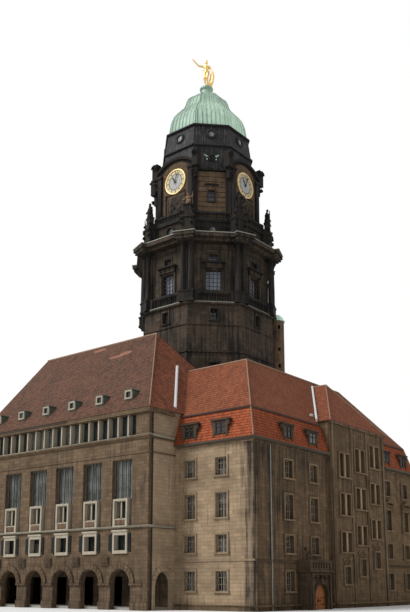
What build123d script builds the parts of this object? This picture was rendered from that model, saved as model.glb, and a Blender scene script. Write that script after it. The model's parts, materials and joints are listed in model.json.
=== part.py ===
# Town hall with an octagonal clock tower, a 1:10 scale model in mm: 100 mm here is one metre of the building.
# The origin is on the ground under the tower's axis. +X runs right along the arcade, +Y runs back, +Z is up.
import os
from math import cos, pi, radians, sin, tan

from build123d import *

os.makedirs("parts", exist_ok=True)

# Plan of the two ranges
CORNER_X = 2735  # outer corner of the corner block
CORNER_Y = -2505
ARCADE_Y = CORNER_Y - 525  # front face of the arcade range
ARCADE_X1 = CORNER_X - 1287  # its right end
BAY_WIDTH = 570
BAY_COUNT = 6
FIRST_BAY = ARCADE_X1 - 480  # axis of the bay nearest the corner
LAST_BAY = FIRST_BAY - (BAY_COUNT - 1) * BAY_WIDTH
ARCADE_X0 = LAST_BAY - 0.6 * BAY_WIDTH
ARCADE_DEPTH = 2680
ARCADE_BACK = ARCADE_Y + ARCADE_DEPTH
WING_DEPTH = 1600
WING_X0 = CORNER_X - WING_DEPTH  # court wall of the side range
WING_Y1 = CORNER_Y + 4660  # its far end
STAIR_Y0 = CORNER_Y + 1840  # projecting stair bay
STAIR_Y1 = CORNER_Y + 3520
STAIR_OUT = 60
WALL = 80
SLAB = 30
GLASS = 4
TRIM = 14  # how far surrounds and bands stand out

# Heights of the arcade range
ARCH_SPRING = 340
ARCH_R = 180
BAND_Z = 1055
WINDOW_HEAD = 1965  # head of the tall windows
SILL_Z = 2262  # sill of the top row
ARCADE_EAVE = 2630
ARCADE_RIDGE = 4180
HIP_RUN = 1105  # how far the roof's hip runs in from the side wall
LOW_SILL = BAND_Z - 320
LOW_HEAD = BAND_Z - 65
TOP_HEAD = ARCADE_EAVE - 70
ARCADE_LEVELS = [SLAB, LOW_SILL - 115, BAND_Z, BAND_Z + 415, WINDOW_HEAD + 35, ARCADE_EAVE - 30]

# Heights of the side range, with its four window rows
WING_EAVE = 2165
BREAK_Z = 2580  # mansard break
WING_RIDGE = 3520
STAIR_EAVE = 2650
STAIR_APEX = 3410
STOREY = 490
ROWS = [(WING_EAVE - 1925, WING_EAVE - 1675), (WING_EAVE - 1440, WING_EAVE - 1215),
        (WING_EAVE - 1000, WING_EAVE - 680), (WING_EAVE - 455, WING_EAVE - 220)]
WING_LEVELS = [SLAB, ROWS[1][0] - 135, ROWS[2][0] - 95, ROWS[3][0] - 120, WING_EAVE - 30]
STRING_Z = ROWS[1][0] - 100

# Tower stages: across-flats radius and levels
SHAFT_R = 1090
SHAFT_TOP = 4820
SHAFT_WALL = 110
COLUMN_R = SHAFT_R - 60
COLUMN_TOP = 5890
CORNICE_R = SHAFT_R + 150
CORNICE_TOP = 6020
OCULUS_R = SHAFT_R - 105  # its axis sides stand forward of the core
OCULUS_HALF = 350
CORE_R = SHAFT_R - 300
CLOCK_BASE = 6400
CLOCK_HEAD = 7330
CLOCK_FACE = SHAFT_R - 230  # front plane of the clock bays
CLOCK_HALF = 400
CLOCK_Z = 7200
DIAL_R = 235
DRUM_BASE = 7395
DRUM_MID = 7840
DRUM_TOP = 8260
DOME_TOP = 9280
FIGURE_BASE = 9480
FIGURE_TOP = 10080
TURRET_R = 154
TURRET_C = (SHAFT_R + TURRET_R - 8) * cos(radians(45))
TURRET_TOP = 4910
TURRET_SIDE = 3  # the diagonal side it stands against
SHAFT_WINDOW = (SHAFT_TOP - 260, SHAFT_TOP - 70)
LOW_WINDOW = (SHAFT_TOP - 1120, SHAFT_TOP - 990)  # just above the roofs
REAR_WINDOW = (ARCADE_EAVE + 270, ARCADE_EAVE + 470)
STAGE_WINDOW = (SHAFT_TOP + 200, SHAFT_TOP + 620)
SMALL_WINDOW = (COLUMN_TOP - 290, COLUMN_TOP - 178)
CLOCK_WINDOW = (CLOCK_BASE + 390, CLOCK_BASE + 600)
EYE_Z = CORNICE_TOP + 205
DRUM_EYE_Z = DRUM_MID + 230
STRINGS = (SHAFT_TOP - 797, SHAFT_TOP - 333)

BOTTOM = (Align.CENTER, Align.CENTER, Align.MIN)


def flat(points):
    """A polygon on the XY plane."""
    return make_face(Polyline(*points, close=True).edges())


def hole(u, w, z0, z1, arched=False):
    """A window or door outline in wall coordinates, centred on u."""
    if arched:
        r = w / 2
        return Pos(u, (z0 + z1 - r) / 2) * Rectangle(w, z1 - r - z0) + Pos(u, z1 - r) * Circle(r)
    return Pos(u, (z0 + z1) / 2) * Rectangle(w, z1 - z0)


def less(face, holes):
    """A face with outlines cut out of it."""
    for h in holes:
        face -= h
    return face


def along_x(face, y, t):
    """Stands a face drawn in X and Z at y and gives it thickness t towards +Y."""
    return Pos(0, y, 0) * extrude(Plane.XZ * face, amount=-t)


def along_y(face, x, t):
    """Stands a face drawn in Y and Z at x and gives it thickness t towards +X."""
    return Pos(x, 0, 0) * extrude(Plane.YZ * face, amount=t)


def wall_x(u0, u1, z0, z1, y, t, holes=()):
    """A wall along X with openings."""
    return along_x(less(hole((u0 + u1) / 2, u1 - u0, z0, z1), holes), y, t)


def wall_y(u0, u1, z0, z1, x, t, holes=()):
    """A wall along Y with openings."""
    return along_y(less(hole((u0 + u1) / 2, u1 - u0, z0, z1), holes), x, t)


def box(x0, x1, y0, y1, z0, z1):
    """A plain block between two corners."""
    return Pos((x0 + x1) / 2, (y0 + y1) / 2, (z0 + z1) / 2) * Box(x1 - x0, y1 - y0, z1 - z0)


def sash(u, w, z0, z1, bar, cols, rows):
    """A window frame outline with a grid of panes."""
    pw, ph = (w - (cols + 1) * bar) / cols, (z1 - z0 - (rows + 1) * bar) / rows
    panes = [Pos(u, (z0 + z1) / 2) * spot * Rectangle(pw, ph) for spot in GridLocations(pw + bar, ph + bar, cols, rows)]
    return less(hole(u, w, z0, z1), panes)


def surround(u, w, z0, z1, edge):
    """A raised frame round an opening."""
    return hole(u, w + 2 * edge, z0, z1 + edge) - hole(u, w, z0 - 1, z1)


def solid_of(faces):
    """A solid bounded by flat faces given as lists of corners."""
    made = [Face(Wire.make_polygon([Vector(*p) for p in f], close=True)) for f in faces]
    return Solid(Shell(made))


def skin(loops):
    """A solid with flat sides through level loops of corners, from the lowest loop to the highest."""
    n = len(loops[0])
    sides = [loops[0][::-1], loops[-1]]
    for lo, hi in zip(loops, loops[1:]):
        sides += [[lo[i], lo[(i + 1) % n], hi[(i + 1) % n], hi[i]] for i in range(n)]
    return solid_of(sides)


def turned(profile, count):
    """A turned form cut to a few flat sides, from pairs of radius and height."""
    turns = [2 * pi * (i + 0.5) / count for i in range(count)]
    return skin([[(r * cos(a), r * sin(a), z) for a in turns] for r, z in profile])


def octagon(r, z=0):
    """Corners of a regular octagon of across-flats radius r, from the right end of the front side."""
    c = r / cos(radians(22.5))
    return [(c * cos(radians(-67.5 + 45 * i)), c * sin(radians(-67.5 + 45 * i)), z) for i in range(8)]


def plate(r, z0, z1):
    """A full octagonal slab."""
    return Pos(0, 0, z0) * extrude(flat([(x, y) for x, y, z in octagon(r)]), amount=z1 - z0)


def ring_side(k, r, z0, z1, t):
    """Side k of an octagonal wall, with mitred ends."""
    s = tan(radians(22.5))
    face = flat([(-r * s, -r), (r * s, -r), ((r - t) * s, t - r), ((t - r) * s, t - r)])
    return Rot(0, 0, 45 * k) * Pos(0, 0, z0) * extrude(face, amount=z1 - z0)


def on_side(k, shape):
    """Turns something made for the front side to side k of the tower."""
    return Rot(0, 0, 45 * k) * shape


def cut_side(body, k, holes, r, t):
    """Cuts outlines through side k of an octagonal wall."""
    for h in holes:
        body -= on_side(k, along_x(h, -r - 60, t + 120))
    return body


def save(pieces, name):
    """Writes one node from one or several solids."""
    solids = [s for p in pieces for s in p.solids()]
    export_step(Compound(children=solids) if len(solids) > 1 else solids[0], f"parts/{name}.step")


# Arcade front wall: arches, low windows, tall windows between flush piers, and one long top opening
bay_x = [FIRST_BAY - BAY_WIDTH * i for i in range(BAY_COUNT)]
PIER_GAP = 370  # clear width between two piers
FIN_PITCH = BAY_WIDTH / 3
top_x0, top_x1 = LAST_BAY - 1.5 * FIN_PITCH, FIRST_BAY + 1.5 * FIN_PITCH - 40
front_holes = [hole((top_x0 + top_x1) / 2, top_x1 - top_x0, SILL_Z, TOP_HEAD)]
for x in bay_x:
    front_holes.append(hole(x, 2 * ARCH_R, -10, ARCH_SPRING + ARCH_R, arched=True))
    front_holes.append(hole(x, PIER_GAP, LOW_SILL, LOW_HEAD))
    front_holes.append(hole(x, PIER_GAP, BAND_Z + 15, WINDOW_HEAD))
save([wall_x(ARCADE_X0, ARCADE_X1, 0, ARCADE_EAVE, ARCADE_Y, WALL, front_holes)], "arcade_front_wall")

# Arcade side wall: its open end has one bay of windows, the rest stands against the side range
SIDE_ARCH_Y = CORNER_Y - 205
side_holes = [
    hole(SIDE_ARCH_Y, 340, -10, ARCH_SPRING + 150, arched=True),
    hole(SIDE_ARCH_Y, 160, LOW_SILL, LOW_HEAD),
    hole(SIDE_ARCH_Y, 180, BAND_Z + 45, BAND_Z + 385),
    hole(SIDE_ARCH_Y, 180, BAND_Z + 465, WINDOW_HEAD),
    hole(SIDE_ARCH_Y - 95, 130, SILL_Z, TOP_HEAD),
    hole(SIDE_ARCH_Y + 75, 130, SILL_Z, TOP_HEAD),
]
save([wall_y(ARCADE_Y + WALL, ARCADE_BACK - WALL, 0, ARCADE_EAVE, ARCADE_X1 - WALL, WALL, side_holes)],
     "arcade_side_wall")

# End wall, a plain gable up to the underside of the roof
EAVE_OUT = 45
ROOF_T = 60  # upright thickness of a roof
pitch = (ARCADE_RIDGE - ARCADE_EAVE) / (ARCADE_DEPTH / 2 + EAVE_OUT)
gable_foot = ARCADE_EAVE + pitch * (WALL + EAVE_OUT) - ROOF_T
gable = flat([
    (ARCADE_Y + WALL, 0), (ARCADE_BACK - WALL, 0), (ARCADE_BACK - WALL, gable_foot),
    (ARCADE_Y + ARCADE_DEPTH / 2, ARCADE_RIDGE - ROOF_T), (ARCADE_Y + WALL, gable_foot)])
save([along_y(gable, ARCADE_X0, WALL)], "arcade_end_wall")

# The tower stands in the back of the arcade range, so walls, floors and roof stop at its octagon
tower_prism = plate(SHAFT_R, 0, SHAFT_TOP)
back_rows = [(SLAB + 90, ARCH_SPRING + 140), (LOW_SILL, LOW_HEAD), (BAND_Z + 65, BAND_Z + 385),
             (BAND_Z + 505, WINDOW_HEAD - 35), (SILL_Z, TOP_HEAD)]
back_cols = [LAST_BAY + 100 + 0.7 * BAY_WIDTH * i for i in range(2)]
back_holes = [hole(x, 120, z0, z1) for x in back_cols for z0, z1 in back_rows]
back_left = wall_x(ARCADE_X0 + WALL, -SHAFT_R, 0, ARCADE_EAVE, ARCADE_BACK - WALL, WALL, back_holes)
back_right = wall_x(SHAFT_R, ARCADE_X1 - WALL, 0, ARCADE_EAVE, ARCADE_BACK - WALL, WALL)
save([back_left - tower_prism, back_right - tower_prism], "arcade_back_wall")

# Wall behind the open passage, with one doorway to each bay
PASSAGE = 420
inner_y = ARCADE_Y + WALL + PASSAGE
inner_holes = [hole(x, 240, 0, ARCH_SPRING + 90) for x in bay_x]
save([wall_x(ARCADE_X0 + WALL, ARCADE_X1 - WALL, SLAB, ARCADE_LEVELS[1] - SLAB, inner_y, 50, inner_holes)],
     "passage_wall")

floor_face = (Pos((ARCADE_X0 + ARCADE_X1) / 2, ARCADE_Y + ARCADE_DEPTH / 2)
              * Rectangle(ARCADE_X1 - ARCADE_X0 - 2 * WALL, ARCADE_DEPTH - 2 * WALL))
floors = [Pos(0, 0, z - SLAB) * extrude(floor_face, amount=SLAB) - tower_prism for z in ARCADE_LEVELS]
save(floors, "arcade_floors")


def hipped(x0, x1, y0, y1, z0, z1, run):
    """The solid under a roof with a gable at x0 and a hip that runs in from x1."""
    ym = (y0 + y1) / 2
    a, b, c, d = (x0, y0, z0), (x1, y0, z0), (x1, y1, z0), (x0, y1, z0)
    e, f = (x0, ym, z1), (x1 - run, ym, z1)
    return solid_of([[a, d, c, b], [a, b, f, e], [b, c, f], [c, d, e, f], [d, a, e]])


arcade_roof_body = hipped(ARCADE_X0, ARCADE_X1 + EAVE_OUT, ARCADE_Y - EAVE_OUT, ARCADE_BACK + EAVE_OUT,
                          ARCADE_EAVE, ARCADE_RIDGE, HIP_RUN + EAVE_OUT)
save([arcade_roof_body - Pos(0, 0, -ROOF_T) * arcade_roof_body - tower_prism], "arcade_roof")

# Frames of the arcade: low windows in raised frames, boxed windows in front of the tall ones
BOX_W = 265
BOX_TOP = BAND_Z + 385
BAR = 8
frames = []
for x in bay_x:
    low = sash(x, BOX_W, LOW_SILL, LOW_HEAD, 28, 1, 1)
    face = surround(x, BOX_W - 56, LOW_SILL + 28, LOW_HEAD - 28, 28) + hole(x, BOX_W, LOW_SILL - 14, LOW_SILL + 28)
    hood = box(x - BOX_W / 2 - 12, x + BOX_W / 2 + 12, ARCADE_Y - 38, ARCADE_Y, LOW_HEAD + 16, LOW_HEAD + 40)
    frames.append(along_x(low, ARCADE_Y, 60) + along_x(face, ARCADE_Y - 26, 26)
                  + box(x - BOX_W / 2, x + BOX_W / 2, ARCADE_Y - 26, ARCADE_Y, LOW_HEAD, LOW_HEAD + 16) + hood)
    tube = hole(x, BOX_W, BAND_Z + 15, BOX_TOP) - hole(x, BOX_W - 56, BAND_Z + 118, BOX_TOP - 28)
    light = sash(x, BOX_W - 56, BAND_Z + 118, BOX_TOP - 28, BAR, 2, 1)
    frames.append(along_x(tube, ARCADE_Y - 30, WALL + 30) + along_x(light, ARCADE_Y + 5, 12))
    tall = sash(x, PIER_GAP, BOX_TOP, WINDOW_HEAD, 12, 3, 1)
    frames.append(along_x(tall, ARCADE_Y + 50, 12))
side_frames = [(160, LOW_SILL, LOW_HEAD), (180, BAND_Z + 45, BAND_Z + 385), (180, BAND_Z + 465, WINDOW_HEAD)]
for w, z0, z1 in side_frames:
    frames.append(along_y(sash(SIDE_ARCH_Y, w, z0, z1, BAR, 2, 1), ARCADE_X1 - 55, 10))
for x in back_cols:
    for z0, z1 in back_rows:
        frames.append(along_x(sash(x, 120, z0, z1, BAR, 1, 1), ARCADE_BACK - 40, 10))
# One sheet of glass a storey closes the windows of each wall from inside
glass = []
for z0, z1 in zip(ARCADE_LEVELS[1:], ARCADE_LEVELS[2:]):
    glass.append(box(ARCADE_X0 + WALL, ARCADE_X1 - WALL - GLASS, ARCADE_Y + WALL, ARCADE_Y + WALL + GLASS,
                     z0, z1 - SLAB))
    glass.append(box(ARCADE_X1 - WALL - GLASS, ARCADE_X1 - WALL, ARCADE_Y + WALL + 2 * GLASS, CORNER_Y - 20,
                     z0, z1 - SLAB))
for z0, z1 in zip(ARCADE_LEVELS, ARCADE_LEVELS[1:]):
    glass.append(box(ARCADE_X0 + WALL, back_cols[-1] + 90, ARCADE_BACK - WALL - GLASS, ARCADE_BACK - WALL,
                     z0, z1 - SLAB))
save(glass, "arcade_glass")

# Pale fins between the openings of the top row go with the window frames
for i in range(3 * BAY_COUNT - 1):
    x = top_x0 + FIN_PITCH * (i + 1)
    frames.append(box(x - 12, x + 12, ARCADE_Y, ARCADE_Y + WALL, SILL_Z, TOP_HEAD))
save(frames, "arcade_windows")


def band(z0, z1, out):
    """A moulding along the arcade front that returns round the corner along the side wall."""
    end = CORNER_Y if z1 < WING_EAVE - 60 else CORNER_Y - 38
    front = box(ARCADE_X0, ARCADE_X1 + out, ARCADE_Y - out, ARCADE_Y, z0, z1)
    return front + box(ARCADE_X1, ARCADE_X1 + out, ARCADE_Y, end, z0, z1)


arcade_bands = [band(BAND_Z - 12, BAND_Z + 14, 20), band(WINDOW_HEAD + 60, WINDOW_HEAD + 80, 10),
                band(SILL_Z - 44, SILL_Z - 22, 18) + band(SILL_Z - 22, SILL_Z, 36),
                band(TOP_HEAD + 8, ARCADE_EAVE, EAVE_OUT - 10)]

# Bands, rings round the arches, imposts between them and a plain shield over each pier
trim = list(arcade_bands)
impost_x = [FIRST_BAY + BAY_WIDTH / 2 - BAY_WIDTH * i for i in range(BAY_COUNT + 1)]
for x in bay_x:
    ring = Pos(x, ARCH_SPRING) * (Circle(ARCH_R + 80) - Circle(ARCH_R))
    trim.append(along_x(ring & hole(x, 600, ARCH_SPRING, ARCH_SPRING + 300), ARCADE_Y - TRIM - 6, TRIM + 6))
for x in impost_x:
    half = BAY_WIDTH / 2 - ARCH_R
    x0, x1 = max(x - half, ARCADE_X0), min(x + half, ARCADE_X1)
    trim.append(box(x0, x1, ARCADE_Y - 22, ARCADE_Y, ARCH_SPRING - 26, ARCH_SPRING - 1))
for x in impost_x[1:]:
    cx = max(x, ARCADE_X0 + 80)
    outline = [(-60, 0), (-66, -60), (-40, -102), (0, -124), (40, -102), (66, -60), (60, 0)]
    shield = Pos(cx, LOW_SILL - 45) * flat(outline)
    trim.append(along_x(shield, ARCADE_Y - 26, 26))
save(trim, "arcade_trim")

# Small box dormers low on the arcade roof
DORMER_Y = ARCADE_Y + 105
dormer_sill = ARCADE_EAVE + pitch * (DORMER_Y + 20 - ARCADE_Y + EAVE_OUT) + 15
dormer_top = dormer_sill + 105
dormer_back = ARCADE_Y - EAVE_OUT + (dormer_top - ARCADE_EAVE) / pitch + 50
dormers = []
for x in bay_x:
    body = box(x - 65, x + 65, DORMER_Y, dormer_back, dormer_sill - 145, dormer_top)
    lid = box(x - 76, x + 76, DORMER_Y - 15, dormer_back, dormer_top, dormer_top + 12)
    pane = along_x(hole(x, 86, dormer_sill, dormer_top - 18), DORMER_Y - 5, 25)
    dormers.append((body + lid - pane) - arcade_roof_body)
save(dormers, "arcade_dormers")

# Side range walls
front_cols = [CORNER_X - 1020, CORNER_X - 500]
corner_holes = [hole(x, 180, z0, z1) for x in front_cols for z0, z1 in ROWS]
save([wall_x(ARCADE_X1, CORNER_X, 0, WING_EAVE, CORNER_Y, WALL, corner_holes)], "corner_front_wall")

COL_A = CORNER_Y + 790
COL_B = CORNER_Y + 1430
DOOR_Y = CORNER_Y + 1250
COL_C = CORNER_Y + 3700
COL_D = CORNER_Y + 4320
entrance_holes = [hole(COL_A, 190, z0, z1) for z0, z1 in ROWS] + [hole(COL_B, 190, z0, z1) for z0, z1 in ROWS[1:]]
entrance_holes += [hole(DOOR_Y, 360, -10, 420), Pos(DOOR_Y - 51, ROWS[1][0] + 66) * RegularPolygon(28, 12)]
far_holes = [hole(y, 190, z0, z1) for y in (COL_C, COL_D) for z0, z1 in ROWS]
save([wall_y(CORNER_Y + WALL, STAIR_Y0, 0, WING_EAVE, CORNER_X - WALL, WALL, entrance_holes),
      wall_y(STAIR_Y1, WING_Y1 - WALL, 0, WING_EAVE, CORNER_X - WALL, WALL, far_holes)], "side_walls")

# Stair bay: its window pairs climb with the stair, a column at a time
STAIR_RISE = 115
stair_face = CORNER_X + STAIR_OUT
stair_cols = [STAIR_Y0 + 370, STAIR_Y0 + 840, STAIR_Y0 + 1310]
STAIR_ROWS = [(WING_EAVE - 1385, WING_EAVE - 1110), (WING_EAVE - 860, WING_EAVE - 555), (WING_EAVE - 305, WING_EAVE + 35)]
stair_pairs, stair_low = [], []
for i, y in enumerate(stair_cols):
    up = i * STAIR_RISE
    for z0, z1 in STAIR_ROWS:
        stair_pairs += [(y - 88, z0 + up, z1 + up), (y + 88, z0 + up, z1 + up)]
    stair_low.append((y, ROWS[0][0] + 90 + up, ROWS[0][1] + 80 + up))
bay_holes = [hole(y, 122, z0, z1) for y, z0, z1 in stair_pairs] + [hole(y, 180, z0, z1) for y, z0, z1 in stair_low]
CHEEK = 300
bay_wall = wall_y(STAIR_Y0, STAIR_Y1, 0, STAIR_EAVE, stair_face - WALL, WALL, bay_holes)
bay_wall += box(CORNER_X - CHEEK, stair_face, STAIR_Y0, STAIR_Y0 + 60, WING_EAVE, STAIR_EAVE)
bay_wall += box(CORNER_X - CHEEK, stair_face, STAIR_Y1 - 60, STAIR_Y1, WING_EAVE, STAIR_EAVE)
save([bay_wall], "stair_bay_wall")

end_cols = [CORNER_X - WING_DEPTH * i / 3 for i in (1, 2)]
end_holes = [hole(x, 180, z0, z1) for x in end_cols for z0, z1 in ROWS]
save([wall_x(WING_X0, CORNER_X, 0, WING_EAVE, WING_Y1 - WALL, WALL, end_holes)], "wing_end_wall")

court_pitch = (WING_Y1 - WALL - ARCADE_BACK) / 4.4
court_cols = [ARCADE_BACK + court_pitch * (0.7 + i) for i in range(4)]
court_holes = [hole(y, 190, z0, z1) for y in court_cols for z0, z1 in ROWS]
save([wall_y(ARCADE_BACK, WING_Y1 - WALL, 0, WING_EAVE, WING_X0, WALL, court_holes) - tower_prism], "court_wall")

wing_floors = []
for z in WING_LEVELS:
    wing_floors.append(box(ARCADE_X1, CORNER_X - WALL, CORNER_Y + WALL, ARCADE_BACK, z - SLAB, z)
                       + box(WING_X0 + WALL, CORNER_X - WALL, ARCADE_BACK, WING_Y1 - WALL, z - SLAB, z))
save(wing_floors, "wing_floors")

# Mansard roof of the side range: a steep lower slope, a break, and an upper slope to the ridge
WING_OUT = 35
BREAK_IN = 125
RIDGE_X = CORNER_X - WING_DEPTH / 2
APEX_RUN = 1000


def mansard(grow, drop):
    """The solid under the mansard, drawn in by grow on plan and let down by drop for its inside."""
    x0, x1 = WING_X0 - WING_OUT + grow, CORNER_X + WING_OUT - grow
    y0, y1 = CORNER_Y - WING_OUT + grow, WING_Y1 + WING_OUT - grow
    z0, z1, z2 = WING_EAVE - drop, BREAK_Z - drop, WING_RIDGE - drop
    b = BREAK_IN
    q = [(x0, y0, z0), (x1, y0, z0), (x1, y1, z0), (x0, y1, z0)]
    p = [(x0 + b, y0 + b, z1), (x1 - b, y0 + b, z1), (x1 - b, y1 - b, z1), (x0 + b, y1 - b, z1)]
    e, f = (RIDGE_X, CORNER_Y + APEX_RUN, z2), (RIDGE_X, WING_Y1 - APEX_RUN, z2)
    return solid_of([q[::-1], [q[0], q[1], p[1], p[0]], [q[1], q[2], p[2], p[1]], [q[2], q[3], p[3], p[2]],
                     [q[3], q[0], p[0], p[3]], [p[0], p[1], e], [p[1], p[2], f, e], [p[2], p[3], f],
                     [p[3], p[0], e, f]])


wing_roof_body = mansard(0, 0)


def stair_roof(drop):
    """The solid under the stair bay's own hipped roof, which dies into the mansard."""
    x1, x0 = stair_face + WING_OUT, RIDGE_X + 60
    y0, y1 = STAIR_Y0 - WING_OUT, STAIR_Y1 + WING_OUT
    apex, mid = CORNER_X - 470, (STAIR_Y0 + STAIR_Y1) / 2
    z0, z1 = STAIR_EAVE - drop, STAIR_APEX - drop
    a, b, c, d = (x0, y0, z0), (x1, y0, z0), (x1, y1, z0), (x0, y1, z0)
    e, f = (apex, mid, z1), (x0, mid, z1)
    return solid_of([[a, d, c, b], [b, c, e], [a, b, e, f], [c, d, f, e], [d, a, f]])


def cross_roof(grow, drop):
    """The solid under the front slope carried on to the left, where its ridge dies into the arcade roof."""
    y0, y1 = CORNER_Y - WING_OUT + BREAK_IN + grow, CORNER_Y + 2 * APEX_RUN + WING_OUT - BREAK_IN - grow
    front = Polyline((y0, BREAK_Z - drop), (CORNER_Y + APEX_RUN, WING_RIDGE - drop), (y1, BREAK_Z - drop), close=True)
    return along_y(make_face(front.edges()), ARCADE_X1 - 800, RIDGE_X - ARCADE_X1 + 800)


stair_roof_body = stair_roof(0)
stair_box = box(CORNER_X - CHEEK, stair_face + 100, STAIR_Y0, STAIR_Y1, WING_EAVE - 200, STAIR_EAVE)
arcade_keep = box(ARCADE_X0, ARCADE_X1, ARCADE_Y, ARCADE_BACK, 0, ARCADE_EAVE + 1)
wing_roof_body = wing_roof_body + cross_roof(0, 0)
wing_roof = wing_roof_body - (mansard(30, ROOF_T / 2) + cross_roof(0, ROOF_T))
wing_roof = wing_roof - arcade_roof_body - arcade_keep - stair_box - stair_roof_body - tower_prism
save([max(wing_roof.solids(), key=lambda s: s.volume)], "wing_roof")
bay_roof = stair_roof_body - stair_roof(ROOF_T) - wing_roof_body
save([max(bay_roof.solids(), key=lambda s: s.volume)], "stair_bay_roof")

# Window frames of the side range
frames = []
for x in front_cols:
    for z0, z1 in ROWS:
        frames.append(along_x(sash(x, 180, z0, z1, BAR, 2, 1), CORNER_Y + 40, 10))
for y in (COL_A, COL_B, COL_C, COL_D):
    for z0, z1 in ROWS:
        if y != COL_B or z0 > ROWS[0][0]:
            cols = 2 if y < COL_C else 1
            frames.append(along_y(sash(y, 190, z0, z1, BAR, cols, 1), CORNER_X - 50, 10))
for y, z0, z1 in stair_pairs:
    frames.append(along_y(sash(y, 122, z0, z1, BAR, 1, 1), stair_face - 50, 10))
for y, z0, z1 in stair_low:
    frames.append(along_y(sash(y, 180, z0, z1, BAR, 2, 1), stair_face - 50, 10))
for x in end_cols:
    for z0, z1 in ROWS:
        frames.append(along_x(sash(x, 180, z0, z1, BAR, 1, 1), WING_Y1 - 50, 10))
for y in court_cols:
    for z0, z1 in ROWS:
        frames.append(along_y(sash(y, 190, z0, z1, BAR, 1, 1), WING_X0 + 40, 10))
save(frames, "wing_windows")

glass = []
for z0, z1 in zip(WING_LEVELS, WING_LEVELS[1:]):
    top = z1 - SLAB
    low = z0 if z0 > SLAB else ROWS[0][0] - 20
    inx = CORNER_X - WALL - GLASS
    glass.append(box(ARCADE_X1 + 2, inx - 2, CORNER_Y + WALL, CORNER_Y + WALL + GLASS, low, top))
    near_end = STAIR_Y0 - 2 if z0 > SLAB else COL_A + 150
    glass.append(box(inx, inx + GLASS, CORNER_Y + WALL, near_end, low, top))
    glass.append(box(inx, inx + GLASS, STAIR_Y1 + 2, WING_Y1 - WALL - 8, low, top))
    glass.append(box(WING_X0 + WALL, inx - 2, WING_Y1 - WALL - GLASS, WING_Y1 - WALL, low, top))
    glass.append(box(WING_X0 + WALL, WING_X0 + WALL + GLASS, ARCADE_BACK + 4, WING_Y1 - WALL - 8, low, top))
for y in stair_cols:
    glass.append(box(stair_face - WALL - GLASS, stair_face - WALL, y - 170, y + 170, 300, STAIR_EAVE - 60))
save(glass, "wing_glass")


def wing_band(z0, z1, out):
    """A moulding round the corner block, in two runs that leave the stair bay free."""
    near = box(ARCADE_X1 + out, CORNER_X + out, CORNER_Y - out, CORNER_Y, z0, z1)
    near += box(CORNER_X, CORNER_X + out, CORNER_Y - out, STAIR_Y0, z0, z1)
    return [near, box(CORNER_X, CORNER_X + out, STAIR_Y1, WING_Y1, z0, z1)]


wing_bands = wing_band(WING_EAVE - 34, WING_EAVE, 28)
wing_bands += wing_band(WING_EAVE - 60, WING_EAVE - 40, 12)
wing_bands.append(box(stair_face, stair_face + 28, STAIR_Y0, STAIR_Y1, STAIR_EAVE - 34, STAIR_EAVE))
wing_bands += [p - box(CORNER_X - 1, CORNER_X + 60, CORNER_Y + 960, CORNER_Y + 1530, 400, 700)
          for p in wing_band(STRING_Z - 14, STRING_Z + 10, TRIM)]
save(wing_bands, "wing_cornices")

# Surrounds and sills of the side range, and the flat strips at the corners
trim = []
for x in front_cols:
    for z0, z1 in ROWS:
        trim.append(along_x(surround(x, 180, z0, z1, 26), CORNER_Y - TRIM, TRIM)
                    + box(x - 125, x + 125, CORNER_Y - 28, CORNER_Y, z0 - 20, z0))
for y in (COL_A, COL_B, COL_C, COL_D):
    for z0, z1 in ROWS:
        if y != COL_B or z0 > ROWS[1][0]:
            trim.append(along_y(surround(y, 190, z0, z1, 26), CORNER_X, TRIM)
                        + box(CORNER_X, CORNER_X + 28, y - 130, y + 130, z0 - 20, z0))
for i, y in enumerate(stair_cols):
    for z0, z1 in STAIR_ROWS:
        up = i * STAIR_RISE
        frame = hole(y, 350, z0 + up - 20, z1 + up + 24) - hole(y - 88, 122, z0 + up, z1 + up) \
            - hole(y + 88, 122, z0 + up, z1 + up)
        trim.append(along_y(frame, stair_face, TRIM))
for y in (STAIR_Y0 + 50, stair_cols[0] + 235, stair_cols[1] + 235, STAIR_Y1 - 50):
    trim.append(box(stair_face, stair_face + 16, y - 28, y + 28, 0, STAIR_EAVE - 34))
save(trim, "wing_trim")

# Mansard dormers with flat projecting lead roofs
dormers = []
for x in front_cols:
    body = box(x - 120, x + 120, CORNER_Y - 14, CORNER_Y + 260, WING_EAVE + 45, WING_EAVE + 262)
    lid = box(x - 150, x + 150, CORNER_Y - 40, CORNER_Y + 280, WING_EAVE + 262, WING_EAVE + 282)
    pane = along_x(hole(x, 176, WING_EAVE + 85, WING_EAVE + 235), CORNER_Y - 15, 24)
    dormers.append(body + lid - pane - wing_roof_body)
for y in (COL_A, COL_B, COL_C, COL_D):
    body = box(CORNER_X - 260, CORNER_X + 14, y - 120, y + 120, WING_EAVE + 45, WING_EAVE + 262)
    lid = box(CORNER_X - 280, CORNER_X + 40, y - 150, y + 150, WING_EAVE + 262, WING_EAVE + 282)
    pane = along_y(hole(y, 176, WING_EAVE + 85, WING_EAVE + 235), CORNER_X - 9, 24)
    dormers.append(body + lid - pane - wing_roof_body - stair_box)
save(dormers, "wing_dormers")

# Down pipes in the corner by the arcade and left of the entrance, broken where a band crosses them
PIPE_R = 8
pipes = []
for x, y, face, top in ((ARCADE_X1 + 14, ARCADE_Y + 60, ARCADE_X1, TOP_HEAD),
                        (CORNER_X + 14, CORNER_Y + 372, CORNER_X, WING_EAVE - 62)):
    pipe = Pos(x, y, 0) * turned([(PIPE_R, 0), (PIPE_R, top)], 8)
    for z in range(180, int(top), 600):
        pipe += box(face, x, y - 3, y + 3, z, z + 6)
    for b in arcade_bands + wing_bands:
        pipe -= b
    pipes.append(pipe)
save(pipes, "down_pipes")

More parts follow.
